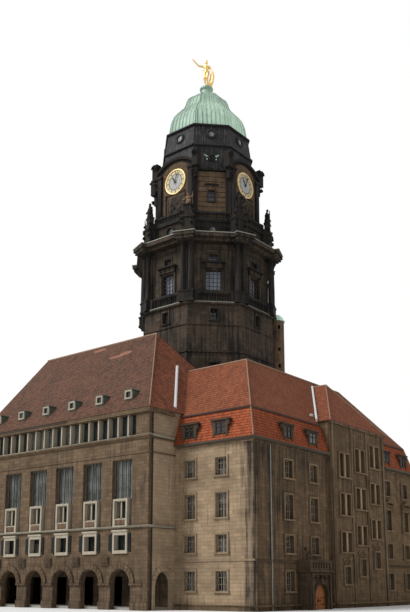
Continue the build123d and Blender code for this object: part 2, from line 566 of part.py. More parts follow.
# Entrance porch, its balcony and the two corbels under it
PORCH_OUT = 190
PORCH_Y0, PORCH_Y1 = CORNER_Y + 980, CORNER_Y + 1510
PORCH_TOP = 480
PORCH_T = 50
porch_face = CORNER_X + PORCH_OUT
door_arch = hole(DOOR_Y, 320, -10, 330, arched=True)
porch = wall_y(PORCH_Y0, PORCH_Y1, 0, PORCH_TOP, porch_face - PORCH_T, PORCH_T,
               [door_arch, hole(DOOR_Y, 60, 385, 445)])
porch += box(CORNER_X, porch_face - PORCH_T, PORCH_Y0, PORCH_Y0 + 40, 0, PORCH_TOP)
porch += box(CORNER_X, porch_face - PORCH_T, PORCH_Y1 - 40, PORCH_Y1, 0, PORCH_TOP)
ring = Pos(DOOR_Y, 170) * (Circle(198) - Circle(160)) & hole(DOOR_Y, 500, 170, 400)
porch += along_y(ring + hole(DOOR_Y - 179, 38, 0, 170) + hole(DOOR_Y + 179, 38, 0, 170), porch_face, TRIM)
save([porch], "porch")
slab = box(CORNER_X, porch_face + 34, PORCH_Y0 - 24, PORCH_Y1 + 24, PORCH_TOP, PORCH_TOP + 30)
parapet = box(CORNER_X, porch_face + 24, PORCH_Y0 - 14, PORCH_Y1 + 14, PORCH_TOP + 30, PORCH_TOP + 160)
parapet -= box(CORNER_X - 1, porch_face - 6, PORCH_Y0 + 16, PORCH_Y1 - 16, PORCH_TOP + 29, PORCH_TOP + 161)
for i in range(7):
    y = PORCH_Y0 + 60 + i * (PORCH_Y1 - PORCH_Y0 - 120) / 6
    parapet -= box(porch_face - 10, porch_face + 30, y - 16, y + 16, PORCH_TOP + 58, PORCH_TOP + 128)
save([slab + parapet], "balcony")

# Two entrance door leaves that hang on upright pins behind the porch front and swing in
DOOR_CLEAR = 5
LEAF_GAP = 3.5
LEAF_T = 16
PIN_R = 3
HINGE_Z = (50, 136)
leaf_r = 160 - DOOR_CLEAR
door_x = porch_face - PORCH_T
pin_x = door_x - 6
pins = []
for side, name in ((-1, "door_leaf_left"), (1, "door_leaf_right")):
    outline = hole(DOOR_Y, 2 * leaf_r, 6, 330 - DOOR_CLEAR, arched=True)
    half = Pos(DOOR_Y + side * (LEAF_GAP + leaf_r / 2), 200) * Rectangle(leaf_r, 600)
    leaf = along_y(outline & half, door_x, LEAF_T)
    for z0, z1 in ((24, 84), (98, 158)):
        panel = Pos(DOOR_Y + side * 80, (z0 + z1) / 2) * Rectangle(100, z1 - z0)
        leaf -= along_y(panel, door_x + LEAF_T - 4, 10)
    pin_y = DOOR_Y + side * leaf_r
    for z in HINGE_Z:
        leaf += Pos(pin_x, pin_y, z + 12) * (turned([(6, -12), (6, 12)], 10) - Cylinder(PIN_R + 0.05, 30))
        pin = Pos(pin_x, pin_y, z - 9) * (turned([(5, 0), (5, 8)], 10) + Cylinder(PIN_R, 32, align=BOTTOM))
        y0, y1 = sorted((pin_y, pin_y + side * 20))
        pin += box(pin_x - 4.5, pin_x + 4.5, y0, y1, z - 9, z - 1)
        y0, y1 = sorted((pin_y + side * 7, pin_y + side * 20))
        pins.append(pin + box(pin_x, door_x, y0, y1, z - 9, z - 1))
    save([leaf], name)
save(pins, "door_pins")

# Tower walls. Even sides face along the axes and odd sides lie between them
side_list, corner_list = [], []
tower_holes = {}
for k in range(8):
    shaft_holes = [(0, 120, *SHAFT_WINDOW), (0, 120, *LOW_WINDOW)]
    if k not in (0, 1, 7):
        shaft_holes.append((0, 120, *REAR_WINDOW))
    if k == TURRET_SIDE:
        shaft_holes = []
    shaft = ring_side(k, SHAFT_R, 0, SHAFT_TOP, SHAFT_WALL)
    shaft = cut_side(shaft, k, [hole(*h) for h in shaft_holes], SHAFT_R, SHAFT_WALL)
    stage_holes = [(0, 260, *STAGE_WINDOW), (0, 150, *SMALL_WINDOW)]
    stage = ring_side(k, COLUMN_R, SHAFT_TOP + SLAB, COLUMN_TOP, 90)
    stage = cut_side(stage, k, [hole(*h) for h in stage_holes], COLUMN_R, 90)
    tower_holes[k] = (shaft_holes, stage_holes)
    (side_list if k % 2 == 0 else corner_list).extend([shaft, stage])
save(side_list, "tower_sides")
save(corner_list, "tower_corners")

turret_round = Pos(TURRET_C, TURRET_C, 0) * Cylinder(TURRET_R, 9000, align=BOTTOM)
inside = SHAFT_R - SHAFT_WALL
save([plate(inside, z - SLAB, z) for z in ARCADE_LEVELS + [3500, 4400]], "tower_floors")

# Cornices: the thick plates are also the floors of the stages above them
clock_plate = plate(CORE_R + 100, CLOCK_BASE - 40, CLOCK_BASE)
for k in range(2):
    arm = box(-OCULUS_HALF - 12, OCULUS_HALF + 12, -OCULUS_R - 12, OCULUS_R + 12, CLOCK_BASE - 40, CLOCK_BASE)
    clock_plate += Rot(0, 0, 90 * k) * arm
for k in range(4):
    clock_plate += on_side(2 * k, box(-CLOCK_HALF, CLOCK_HALF, -CLOCK_FACE, 0, CLOCK_BASE - 40, CLOCK_BASE))
save([plate(SHAFT_R + 45, SHAFT_TOP, SHAFT_TOP + SLAB) - turret_round,
      plate(CORNICE_R - 60, COLUMN_TOP, COLUMN_TOP + 60) + plate(CORNICE_R, COLUMN_TOP + 60, CORNICE_TOP),
      clock_plate], "tower_cornices")

# Two string courses round the shaft, surrounds of its upper windows, and hoods over the tall windows
trim = []
for z in STRINGS:
    trim.append(plate(SHAFT_R + 16, z - 14, z + 14) - plate(SHAFT_R, z - 15, z + 15) - turret_round)
for k in range(8):
    if k != TURRET_SIDE:
        trim.append(on_side(k, along_x(surround(0, 120, *SHAFT_WINDOW, 30), -SHAFT_R - 16, 16)))
    top = STAGE_WINDOW[1]
    head = hole(0, 330, top + 30, top + 105) + hole(0, 370, top + 105, top + 130)
    trim.append(on_side(k, along_x(head, -COLUMN_R - 30, 30)))
    trim.append(on_side(k, along_x(surround(0, 150, *SMALL_WINDOW, 20), -COLUMN_R - 12, 12)))
save(trim, "tower_trim")

# Paired columns on pedestals at the eight corners
columns = []
COLUMN_CIRCLE = (COLUMN_R + 55) / cos(radians(22.5))
PED_TOP = SHAFT_TOP + 225
RAIL_H = 150  # upper balustrade
for k in range(8):
    ang = -67.5 + 45 * k
    pair = []
    for side in (-1, 1):
        profile = [(52, PED_TOP), (45, PED_TOP + 34), (45, PED_TOP + 300), (39, COLUMN_TOP - 70), (54, COLUMN_TOP)]
        shaft = turned(profile, 8)
        foot = box(-50, 50, -55, 55, SHAFT_TOP + SLAB, PED_TOP)
        pair.append(Pos(0, side * 64, 0) * (shaft + foot))
    both = pair[0] + pair[1]
    columns.append(Rot(0, 0, ang) * Pos(COLUMN_CIRCLE, 0, 0) * both)
save(columns, "tower_columns")

# Balustrades: below between the pedestals, above round the clock stage
rails = []


def rail(half, y, t, z0, z1, count):
    """A balustrade panel with a row of gaps between its balusters."""
    gap = 2 * half / (count * 2 + 1)
    gaps = [hole(-half + gap * (2 * i + 1.5), gap, z0 + 34, z1 - 30) for i in range(count)]
    return along_x(less(hole(0, 2 * half, z0, z1), gaps), y, t)


for k in range(8):
    rails.append(on_side(k, rail(300, -SHAFT_R - 20, 24, SHAFT_TOP + SLAB, PED_TOP, 4)))
    if k % 2 == 0:
        rails.append(on_side(k, rail(OCULUS_HALF - 10, -OCULUS_R, 22, CLOCK_BASE, CLOCK_BASE + RAIL_H, 4)))
    else:
        rails.append(on_side(k, rail(275, -CORE_R - 85, 22, CLOCK_BASE, CLOCK_BASE + RAIL_H, 3)))
turret_cap_round = Pos(TURRET_C, TURRET_C, 0) * Cylinder(TURRET_R + 17, 9000, align=BOTTOM)
save([r - turret_cap_round for r in rails], "tower_balustrades")

# Oculus stage and clock stage. Their axis sides stand forward of the octagon
front_list, core_list = [], []
for k in range(8):
    if k % 2 == 0:
        eye = wall_x(-OCULUS_HALF, OCULUS_HALF, CORNICE_TOP, CLOCK_BASE - 40, -OCULUS_R, 90, [Pos(0, EYE_Z) * RegularPolygon(62, 16)])
        head = (Polyline((CLOCK_HALF, CLOCK_HEAD + 110), (CLOCK_HALF, CLOCK_BASE), (-CLOCK_HALF, CLOCK_BASE),
                         (-CLOCK_HALF, CLOCK_HEAD + 110))
                + ThreePointArc((-CLOCK_HALF, CLOCK_HEAD + 110), (0, CLOCK_HEAD + 260), (CLOCK_HALF, CLOCK_HEAD + 110)))
        clock = along_x(make_face(head.edges()), -CLOCK_FACE, 70)
        hood = (ThreePointArc((-CLOCK_HALF, CLOCK_HEAD + 111), (0, CLOCK_HEAD + 261), (CLOCK_HALF, CLOCK_HEAD + 111))
                + Polyline((CLOCK_HALF, CLOCK_HEAD + 111), (CLOCK_HALF, CLOCK_HEAD + 160))
                + ThreePointArc((CLOCK_HALF, CLOCK_HEAD + 160), (0, CLOCK_HEAD + 310), (-CLOCK_HALF, CLOCK_HEAD + 160))
                + Polyline((-CLOCK_HALF, CLOCK_HEAD + 160), (-CLOCK_HALF, CLOCK_HEAD + 111)))
        clock += along_x(make_face(hood.edges()), -CLOCK_FACE - 45, 110)
        for side in (-1, 1):
            block = box(CLOCK_HALF, CLOCK_HALF + 115, -CLOCK_FACE - 45, -CLOCK_FACE + 66, CLOCK_HEAD + 30,
                        CLOCK_HEAD + 330)
            block += box(CLOCK_HALF, CLOCK_HALF + 60, -CLOCK_FACE - 10, -CLOCK_FACE + 60, CLOCK_HEAD - 160,
                         CLOCK_HEAD + 30)
            clock += block if side > 0 else mirror(block, about=Plane.YZ)
        front_list += [on_side(k, eye), on_side(k, clock)]
    else:
        eye = cut_side(ring_side(k, CORE_R, CORNICE_TOP, CLOCK_BASE - 40, 80), k, [Pos(0, EYE_Z) * RegularPolygon(40, 12)], CORE_R, 80)
        core = cut_side(ring_side(k, CORE_R, CLOCK_BASE, DRUM_BASE, 80), k, [hole(0, 110, *CLOCK_WINDOW)], CORE_R, 80)
        core_list += [eye, core]
save(front_list, "clock_sides")
save(core_list, "clock_corners")


def draped_figure(height):
    """A plain standing figure in a long robe: hem, waist, shoulders, neck and a round head."""
    h = height
    robe = [(0.17, 0), (0.11, 0.5), (0.14, 0.72), (0.05, 0.84), (0.075, 0.92), (0.03, 1.0)]
    return turned([(r * h, z * h) for r, z in robe], 8)


CORNER_FIGURE = 530
figures = []
for k in range(8):
    ang = -67.5 + 45 * k
    pedestal = box(-50, 60, -60, 60, CORNICE_TOP, CORNICE_TOP + 60)
    pedestal += box(-44, 48, -48, 48, CORNICE_TOP + 60, CLOCK_BASE)
    statue = pedestal + Pos(0, 0, CLOCK_BASE) * draped_figure(CORNER_FIGURE)
    figures.append(Rot(0, 0, ang) * Pos(SHAFT_R + 38, 0, 0) * statue)
save(figures, "corner_figures")

# Slated drum in two tapering bands, hollow, with a round light in each side of the upper band
bands = [(CORE_R, DRUM_BASE), (CORE_R - 15, DRUM_MID - 10), (CORE_R + 10, DRUM_MID), (CORE_R - 15, DRUM_MID + 12),
         (CORE_R - 65, DRUM_TOP - 12), (CORE_R - 42, DRUM_TOP)]
drum = skin([octagon(r, z) for r, z in bands]) - plate(CORE_R - 140, DRUM_BASE - 1, DRUM_TOP - 40)
for k in range(8):
    drum -= on_side(k, along_x(Pos(0, DRUM_EYE_Z) * RegularPolygon(44, 12), -900, 260))
save([drum], "drum")

# Copper dome: a tall lower swelling, a waist and a rounder upper swelling
DOME_R = CORE_R - 90
DOME_H = DOME_TOP - DRUM_TOP
profile = [(1, 0), (0.99, 0.1), (0.955, 0.245), (0.893, 0.373), (0.8, 0.47), (0.7, 0.55), (0.61, 0.627),
           (0.566, 0.696), (0.536, 0.775), (0.486, 0.843), (0.4, 0.902), (0.293, 0.951), (0.171, 0.985), (0.16, 1)]
ped = [(122, DOME_TOP), (104, DOME_TOP + 60), (96, DOME_TOP + 110), (126, DOME_TOP + 128),
       (126, DOME_TOP + 156), (80, DOME_TOP + 172), (80, FIGURE_BASE)]
save([skin([octagon(r * DOME_R, DRUM_TOP + z * DOME_H) for r, z in profile]) + turned(ped, 16)], "dome")

# Gilded figure: a round base, two legs, a body, a head, one arm raised to the left and one lowered
TALL = FIGURE_TOP - FIGURE_BASE


def part_of(profile, x, count=8):
    """A turned piece of the figure, in shares of its height, that stands at x."""
    return Pos(x * TALL, 0, 0) * turned([(r * TALL, z * TALL) for r, z in profile], count)


def limb(a, b, r):
    """A straight limb between two points, in shares of the figure's height."""
    start, end = Vector(*a) * TALL, Vector(*b) * TALL
    return Plane(origin=start, z_dir=end - start) * turned([(r * TALL, 0), (0.85 * r * TALL, (end - start).length)], 6)


LEG = [(0.03, 0.02), (0.025, 0.11), (0.037, 0.25), (0.028, 0.33), (0.05, 0.5)]
TORSO = [(0.05, 0.44), (0.077, 0.47), (0.063, 0.56), (0.087, 0.72), (0.067, 0.78), (0.024, 0.81), (0.03, 0.83),
         (0.055, 0.86), (0.055, 0.9), (0.03, 0.94)]
figure = part_of([(0.1, 0), (0.1, 0.04)], 0, 12) + part_of(LEG, -0.04) + part_of(LEG, 0.04) + part_of(TORSO, 0)
figure += limb((-0.06, 0, 0.745), (-0.21, 0, 0.78), 0.024)
figure += limb((-0.2, 0, 0.77), (-0.29, 0, 0.98), 0.02)
figure += limb((0.06, 0, 0.745), (0.13, -0.01, 0.53), 0.024)
figure += limb((0.13, -0.01, 0.54), (0.09, -0.07, 0.39), 0.02)
figure += limb((0.007, 0, 0.9), (0.007, 0, 1.0), 0.014)
save([Pos(0, 0, FIGURE_BASE) * Rot(0, 0, 38) * figure], "gilded_figure")

# Round stair turret on one diagonal side, with a domed copper cap
turret = turned([(TURRET_R, 0), (TURRET_R, TURRET_TOP)], 20)
turret -= turned([(TURRET_R - 34, -1), (TURRET_R - 34, TURRET_TOP + 1)], 20)
for z in (TURRET_TOP - 830, TURRET_TOP - 530, TURRET_TOP - 120):
    for turn in (-30, 60):
        turret -= Pos(0, 0, z) * Rot(0, 0, turn) * Pos(TURRET_R, 0, 0) * Box(90, 46, 70)
turret = Pos(TURRET_C, TURRET_C, 0) * turret - tower_prism
turret = turret - plate(SHAFT_R + 45, SHAFT_TOP - 0.5, SHAFT_TOP + SLAB + 0.5)
save([max(turret.solids(), key=lambda s: s.volume)], "stair_turret")
cap = [(TURRET_R + 16, TURRET_TOP), (TURRET_R + 16, TURRET_TOP + 22), (TURRET_R - 4, TURRET_TOP + 30),
       (TURRET_R - 22, TURRET_TOP + 80), (TURRET_R - 62, TURRET_TOP + 118), (14, TURRET_TOP + 140), (10, TURRET_TOP + 172)]
save([Pos(TURRET_C, TURRET_C, 0) * turned(cap, 20)
      - plate(COLUMN_R + 1, TURRET_TOP - 1, TURRET_TOP + 200)], "turret_cap")

# Window frames and glass of the tower
frames, glass = [], []
for k in range(8):
    shaft_holes, stage_holes = tower_holes[k]
    for u, w, z0, z1 in shaft_holes:
        frames.append(on_side(k, along_x(sash(u, w, z0, z1, BAR, 1, 1), -SHAFT_R + 40, 10)))
        glass.append(on_side(k, along_x(hole(u, w + 20, z0 - 10, z1 + 10), -SHAFT_R + SHAFT_WALL, GLASS)))
    for u, w, z0, z1 in stage_holes:
        cols = 2 if w > 200 else 1
        frames.append(on_side(k, along_x(sash(u, w, z0, z1, BAR, cols, 1), -COLUMN_R + 35, 10)))
        glass.append(on_side(k, along_x(hole(u, w + 20, z0 - 10, z1 + 10), -COLUMN_R + 90, GLASS)))
    if k % 2:
        frames.append(on_side(k, along_x(sash(0, 110, *CLOCK_WINDOW, BAR, 1, 1), -CORE_R + 30, 10)))
        glass.append(on_side(k, along_x(hole(0, 130, CLOCK_WINDOW[0] - 10, CLOCK_WINDOW[1] + 10), -CORE_R + 80, GLASS)))
save(frames, "tower_windows")
save(glass, "tower_glass")

# Clocks: a dial with a raised ring on each axis side, and an arbor on the two that carry turning hands
ARBOR_R = 6
dials, rings = [], []
for k in range(4):
    face = turned([(DIAL_R - 34, 0), (DIAL_R - 34, 10)], 24)
    if k < 2:
        face += Cylinder(ARBOR_R, 38, align=BOTTOM)
    disc = Rot(90, 0, 0) * face
    rim = Rot(90, 0, 0) * (turned([(DIAL_R, 0), (DIAL_R - 8, 22)], 24) - turned([(DIAL_R - 34, -1), (DIAL_R - 34, 23)], 24))
    dials.append(Rot(0, 0, 90 * k) * Pos(0, -CLOCK_FACE, CLOCK_Z) * disc)
    rings.append(Rot(0, 0, 90 * k) * Pos(0, -CLOCK_FACE, CLOCK_Z) * rim)
save(dials, "clock_dials")
save(rings, "clock_rings")


def hand(length, width, y0, t, turn):
    """A pointer that widens before its tip, with a hub bored for the arbor, turned clockwise from upright."""
    blade = flat([(-width * 0.3, 0), (width * 0.3, 0), (width * 0.5, length * 0.7), (0, length), (-width * 0.5, length * 0.7)])
    tail = flat([(-width * 0.25, 0), (width * 0.25, 0), (width * 0.4, -length * 0.22), (-width * 0.4, -length * 0.22)])
    face = blade + tail + RegularPolygon(16, 12) - Circle(ARBOR_R + 0.05)
    return Pos(0, y0, CLOCK_Z) * Rot(0, turn, 0) * extrude(Plane.XZ * face, amount=t)


HAND_T = 4
HOUR_Y = -CLOCK_FACE - 10 - 6
MINUTE_Y = HOUR_Y - HAND_T - 6
hour = hand(130, 24, HOUR_Y, HAND_T, 325)
minute = hand(195, 18, MINUTE_Y, HAND_T, 20)
for k, name in ((0, "front"), (1, "side")):
    save([Rot(0, 0, 90 * k) * hour], f"{name}_hour_hand")
    save([Rot(0, 0, 90 * k) * minute], f"{name}_minute_hand")
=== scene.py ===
import json
from math import cos, pi, radians, sin, sqrt, tan

import bmesh
import bpy
from mathutils import Matrix, Vector

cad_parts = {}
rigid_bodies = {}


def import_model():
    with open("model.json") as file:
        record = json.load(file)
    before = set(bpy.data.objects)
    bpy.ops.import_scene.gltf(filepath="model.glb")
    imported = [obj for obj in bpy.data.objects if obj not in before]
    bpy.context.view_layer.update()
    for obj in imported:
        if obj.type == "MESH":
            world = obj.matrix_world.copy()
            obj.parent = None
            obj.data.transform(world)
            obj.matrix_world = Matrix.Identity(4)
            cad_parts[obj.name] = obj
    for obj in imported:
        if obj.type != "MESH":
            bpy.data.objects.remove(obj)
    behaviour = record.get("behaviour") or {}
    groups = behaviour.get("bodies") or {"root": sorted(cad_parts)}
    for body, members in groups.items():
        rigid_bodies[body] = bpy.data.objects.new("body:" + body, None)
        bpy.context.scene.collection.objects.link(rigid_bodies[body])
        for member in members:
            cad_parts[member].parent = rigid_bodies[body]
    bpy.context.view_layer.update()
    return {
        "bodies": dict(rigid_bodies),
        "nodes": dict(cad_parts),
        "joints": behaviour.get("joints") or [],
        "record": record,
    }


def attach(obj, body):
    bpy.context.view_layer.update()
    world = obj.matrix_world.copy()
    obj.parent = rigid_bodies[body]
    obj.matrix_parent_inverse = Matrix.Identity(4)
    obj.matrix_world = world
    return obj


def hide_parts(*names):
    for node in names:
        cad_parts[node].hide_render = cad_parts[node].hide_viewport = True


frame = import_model()
nodes = frame["nodes"]

# Camera: a person's eye across the square from the outer corner, looking up a little with a short telephoto
# lens. The upward shift keeps the foot of the walls at the lower edge of the picture.
camera = bpy.data.objects.new("camera", bpy.data.cameras.new("camera"))
bpy.context.scene.collection.objects.link(camera)
camera.location = (8.5351, -10.7344, 0.330)
camera.rotation_euler = (radians(100.871), 0, radians(38.6))
camera.data.lens = 47.658
camera.data.sensor_width = 36
camera.data.shift_y = 0.20
camera.data.clip_end = 300
bpy.context.scene.camera = camera

bpy.context.scene.view_settings.view_transform = "Standard"

# Studio: a pale floor, an even bright room and one large soft lamp from the left, in front of the arcade.
# The floor and the room show white to the camera, and the floor keeps the building's shadow.
sun = bpy.data.objects.new("soft_lamp", bpy.data.lights.new("soft_lamp", "SUN"))
bpy.context.scene.collection.objects.link(sun)
sun.data.energy = 2.7
sun.data.angle = radians(28)
sun.rotation_euler = Vector((0.62, 1.0, -1.1)).to_track_quat("-Z", "Y").to_euler()

room = bpy.data.worlds.new("room")
bpy.context.scene.world = room
room.use_nodes = True
background = room.node_tree.nodes["Background"]
background.inputs["Color"].default_value = (1, 1, 1, 1)
rays = room.node_tree.nodes.new("ShaderNodeLightPath")
seen = rays.outputs["Is Camera Ray"]
for kind in ("Is Glossy Ray", "Is Transmission Ray"):
    either = room.node_tree.nodes.new("ShaderNodeMath")
    either.operation = "MAXIMUM"
    room.node_tree.links.new(seen, either.inputs[0])
    room.node_tree.links.new(rays.outputs[kind], either.inputs[1])
    seen = either.outputs[0]
strength = room.node_tree.nodes.new("ShaderNodeMapRange")
strength.inputs["To Min"].default_value = 0.48
strength.inputs["To Max"].default_value = 1.0
room.node_tree.links.new(seen, strength.inputs["Value"])
room.node_tree.links.new(strength.outputs["Result"], background.inputs["Strength"])

floor_mesh = bpy.data.meshes.new("floor")
floor_mesh.from_pydata([(-60, -60, -0.002), (60, -60, -0.002), (60, 60, -0.002), (-60, 60, -0.002)], [],
                       [(0, 1, 2, 3)])
floor = bpy.data.objects.new("floor", floor_mesh)
bpy.context.scene.collection.objects.link(floor)
floor_paint = bpy.data.materials.new("floor_paint")
floor_paint.use_nodes = True
floor_paint.node_tree.nodes["Principled BSDF"].inputs["Base Color"].default_value = (0.80, 0.80, 0.79, 1)
floor_paint.node_tree.nodes["Principled BSDF"].inputs["Roughness"].default_value = 0.9
floor_mesh.materials.append(floor_paint)


# Sandstone of the arcade range and of the corner front: sawn blocks in level courses with thin joints, tan
# with browner blocks between, greyed in long streaks where rain runs. The same three effects serve every
# masonry finish.
def put(tree, kind, inputs=(), **settings):
    """Adds a node to a tree, with each input set to a value or joined to another node's output."""
    made = tree.nodes.new(kind)
    for name, value in settings.items():
        setattr(made, name, value)
    for name, value in dict(inputs).items():
        if isinstance(value, bpy.types.NodeSocket):
            tree.links.new(value, made.inputs[name])
        else:
            made.inputs[name].default_value = value
    return made


def effect(name, inputs, outputs):
    """An empty node group with named number inputs and outputs."""
    tree = bpy.data.node_groups.new(name, "ShaderNodeTree")
    for label, start in inputs:
        tree.interface.new_socket(label, in_out="INPUT", socket_type="NodeSocketFloat").default_value = start
    for label in outputs:
        tree.interface.new_socket(label, in_out="OUTPUT", socket_type="NodeSocketFloat")
    return tree, tree.nodes.new("NodeGroupInput").outputs, tree.nodes.new("NodeGroupOutput").inputs


courses, given, out = effect("courses",
                             [("Course height", 0.05), ("Block length", 0.1), ("Joint width", 0.002)],
                             ["Tone", "Joint", "Rise", "Along"])
place = put(courses, "ShaderNodeTexCoord").outputs["Object"]
facing = put(courses, "ShaderNodeNewGeometry").outputs["Normal"]
along = put(courses, "ShaderNodeVectorMath", {0: (0, 0, 1), 1: facing}, operation="CROSS_PRODUCT")
along = put(courses, "ShaderNodeVectorMath", {0: along.outputs[0]}, operation="NORMALIZE")
run = put(courses, "ShaderNodeVectorMath", {0: along.outputs[0], 1: place}, operation="DOT_PRODUCT")
height = put(courses, "ShaderNodeSeparateXYZ", {0: place}).outputs["Z"]
spot = put(courses, "ShaderNodeCombineXYZ", {"X": run.outputs["Value"], "Y": height})
bond = put(courses, "ShaderNodeTexBrick",
           {"Vector": spot.outputs[0], "Color1": (0, 0, 0, 1), "Color2": (1, 1, 1, 1),
            "Mortar": (0.5, 0.5, 0.5, 1), "Scale": 1, "Mortar Smooth": 0.3,
            "Mortar Size": given["Joint width"], "Brick Width": given["Block length"],
            "Row Height": given["Course height"]})
courses.links.new(bond.outputs["Color"], out["Tone"])
courses.links.new(bond.outputs["Fac"], out["Joint"])
rise = put(courses, "ShaderNodeMath", {0: height, 1: given["Course height"]}, operation="DIVIDE")
rise = put(courses, "ShaderNodeMath", {0: rise.outputs[0]}, operation="FRACT")
courses.links.new(rise.outputs[0], out["Rise"])
courses.links.new(run.outputs["Value"], out["Along"])

weather, given, out = effect("weather",
                             [("Blotch size", 0.5), ("Streak width", 0.05), ("Streak length", 0.9)],
                             ["Blotches", "Streaks", "Grain"])
place = put(weather, "ShaderNodeTexCoord").outputs["Object"]
size = put(weather, "ShaderNodeMath", {0: 1.0, 1: given["Blotch size"]}, operation="DIVIDE")
blotches = put(weather, "ShaderNodeTexNoise", {"Vector": place, "Scale": size.outputs[0], "Detail": 5.0,
                                               "Roughness": 0.62})
weather.links.new(blotches.outputs["Fac"], out["Blotches"])
spread = put(weather, "ShaderNodeCombineXYZ", {"X": given["Streak width"], "Y": given["Streak width"],
                                               "Z": given["Streak length"]})
thin = put(weather, "ShaderNodeVectorMath", {0: place, 1: spread.outputs[0]}, operation="DIVIDE")
streaks = put(weather, "ShaderNodeTexNoise", {"Vector": thin.outputs[0], "Scale": 1.0, "Detail": 4.0,
                                              "Roughness": 0.6})
weather.links.new(streaks.outputs["Fac"], out["Streaks"])
grain = put(weather, "ShaderNodeTexNoise", {"Vector": place, "Scale": 220.0, "Detail": 2.0, "Roughness": 0.6})
weather.links.new(grain.outputs["Fac"], out["Grain"])


def fit(tree, value, low, high, to_low=0.0, to_high=1.0):
    """Spreads a value between two limits over another range, held at its ends."""
    return put(tree, "ShaderNodeMapRange",
               {"Value": value, "From Min": low, "From Max": high, "To Min": to_low,
                "To Max": to_high}).outputs["Result"]


def between(tree, share, a, b, kind="MIX"):
    """A colour mixed from two by a share. Each may be three numbers or another node's colour."""
    made = put(tree, "ShaderNodeMix", {"Factor": share}, data_type="RGBA", blend_type=kind)
    for socket, colour in ((made.inputs[6], a), (made.inputs[7], b)):
        if isinstance(colour, bpy.types.NodeSocket):
            tree.links.new(colour, socket)
        else:
            socket.default_value = (*colour, 1)
    return made.outputs[2]


def finish_of(name):
    """A new material with its shader and a bump, whose height is still free."""
    material = bpy.data.materials.new(name)
    material.use_nodes = True
    tree = material.node_tree
    shader = tree.nodes["Principled BSDF"]
    shader.inputs["Specular IOR Level"].default_value = 0.12
    bump = put(tree, "ShaderNodeBump", {"Strength": 0.5, "Distance": 0.003})
    tree.links.new(bump.outputs["Normal"], shader.inputs["Normal"])
    return material, tree, shader, bump


def math_of(tree, kind, *terms):
    """The number that a sum, product or other operation makes of one or two numbers."""
    return put(tree, "ShaderNodeMath", dict(enumerate(terms)), operation=kind).outputs[0]


def shaded(tree, colour, share):
    """A colour made darker or lighter by the same share of red, green and blue."""
    grey = put(tree, "ShaderNodeCombineColor", {0: share, 1: share, 2: share}).outputs[0]
    return between(tree, 1.0, colour, grey, "MULTIPLY")


def coursed(tree, height, length, joint):
    """The outputs of the course pattern, for blocks of one size."""
    return put(tree, "ShaderNodeGroup",
               {"Course height": height, "Block length": length, "Joint width": joint},
               node_tree=courses).outputs


def weathered(tree, blotch, width, length):
    """The outputs of the weather pattern, for one size of blotch and streak."""
    return put(tree, "ShaderNodeGroup",
               {"Blotch size": blotch, "Streak width": width, "Streak length": length},
               node_tree=weather).outputs


def place_of(tree):
    """The X, Y and Z of each point of the model, in metres."""
    return put(tree, "ShaderNodeSeparateXYZ", {0: put(tree, "ShaderNodeTexCoord").outputs["Object"]}).outputs


def overlaid(material, mask, colour):
    """Lays a plain colour over a finished material where the mask is high."""
    tree = material.node_tree
    base = tree.nodes["Principled BSDF"].inputs["Base Color"]
    tree.links.new(between(tree, mask, base.links[0].from_socket, colour), base)


def masonry(name, light, dark, soot, course, length, joint, soot_low, soot_high, edges=()):
    """Coursed stone. Soot gathers where the streaks and blotches pass soot_low and covers all at
    soot_high. Each edge adds to it between two places along an axis."""
    material, tree, shader, bump = finish_of(name)
    blocks = coursed(tree, course, length, joint)
    rain = weathered(tree, 0.45, 0.045, 0.8)
    colour = between(tree, fit(tree, blocks["Tone"], 0.0, 1.0, 0.15, 0.85), dark, light)
    colour = shaded(tree, colour, fit(tree, rain["Blotches"], 0.35, 0.68, 0.72, 1.16))
    total = math_of(tree, "ADD", rain["Streaks"], rain["Blotches"])
    for axis, clean, full, amount in edges:
        total = math_of(tree, "ADD", total, fit(tree, place_of(tree)[axis], clean, full, 0.0, amount))
    colour = between(tree, fit(tree, total, soot_low, soot_high), colour, soot)
    colour = shaded(tree, colour, fit(tree, rain["Grain"], 0.3, 0.7, 0.88, 1.1))
    colour = shaded(tree, colour, fit(tree, blocks["Joint"], 0.0, 1.0, 1.0, 0.55))
    tree.links.new(colour, shader.inputs["Base Color"])
    tree.links.new(fit(tree, rain["Grain"], 0.2, 0.8, 0.78, 0.95), shader.inputs["Roughness"])
    deep = math_of(tree, "MULTIPLY", rain["Grain"], 0.35)
    tree.links.new(math_of(tree, "SUBTRACT", deep, blocks["Joint"]), bump.inputs["Height"])
    return material


def dress(names, material):
    """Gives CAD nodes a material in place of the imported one."""
    for name in names:
        mesh = nodes[name].data
        mesh.materials.clear()
        mesh.materials.append(material)


sandstone = masonry("tan_sandstone", (0.19, 0.130, 0.080), (0.105, 0.070, 0.042), (0.055, 0.040, 0.029),
                    0.048, 0.105, 0.0016, 1.0, 1.4, edges=[("Z", 0.75, 0.45, 0.17)])
dress(["arcade_front_wall", "arcade_trim", "arcade_back_wall", "arcade_end_wall", "passage_wall"], sandstone)
# The arcade's side wall is paler stone. It is also painted paler for the light that the corner front throws
# on it.
bounce_lit_stone = masonry("pale_sandstone_and_bounce_light", (0.46, 0.35, 0.235), (0.36, 0.26, 0.17), (0.17, 0.125, 0.09), 0.048,
                      0.105, 0.0016, 1.06, 1.5)
dress(["arcade_side_wall"], bounce_lit_stone)
corner_stone = masonry("corner_sandstone", (0.40, 0.295, 0.19), (0.28, 0.20, 0.128), (0.045, 0.035, 0.026),
                       0.048, 0.115, 0.0016, 1.10, 1.45,
                       edges=[("X", 2.47, 2.62, 0.36), ("X", 1.75, 1.5, 0.07)])
dress(["corner_front_wall"], corner_stone)
side_stone = masonry("brown_sandstone", (0.25, 0.165, 0.092), (0.145, 0.096, 0.055), (0.040, 0.029, 0.021),
                     0.048, 0.115, 0.0016, 1.0, 1.42, edges=[("Y", 1.2, -2.4, 0.22), ("Z", 0.9, 2.2, 0.10)])
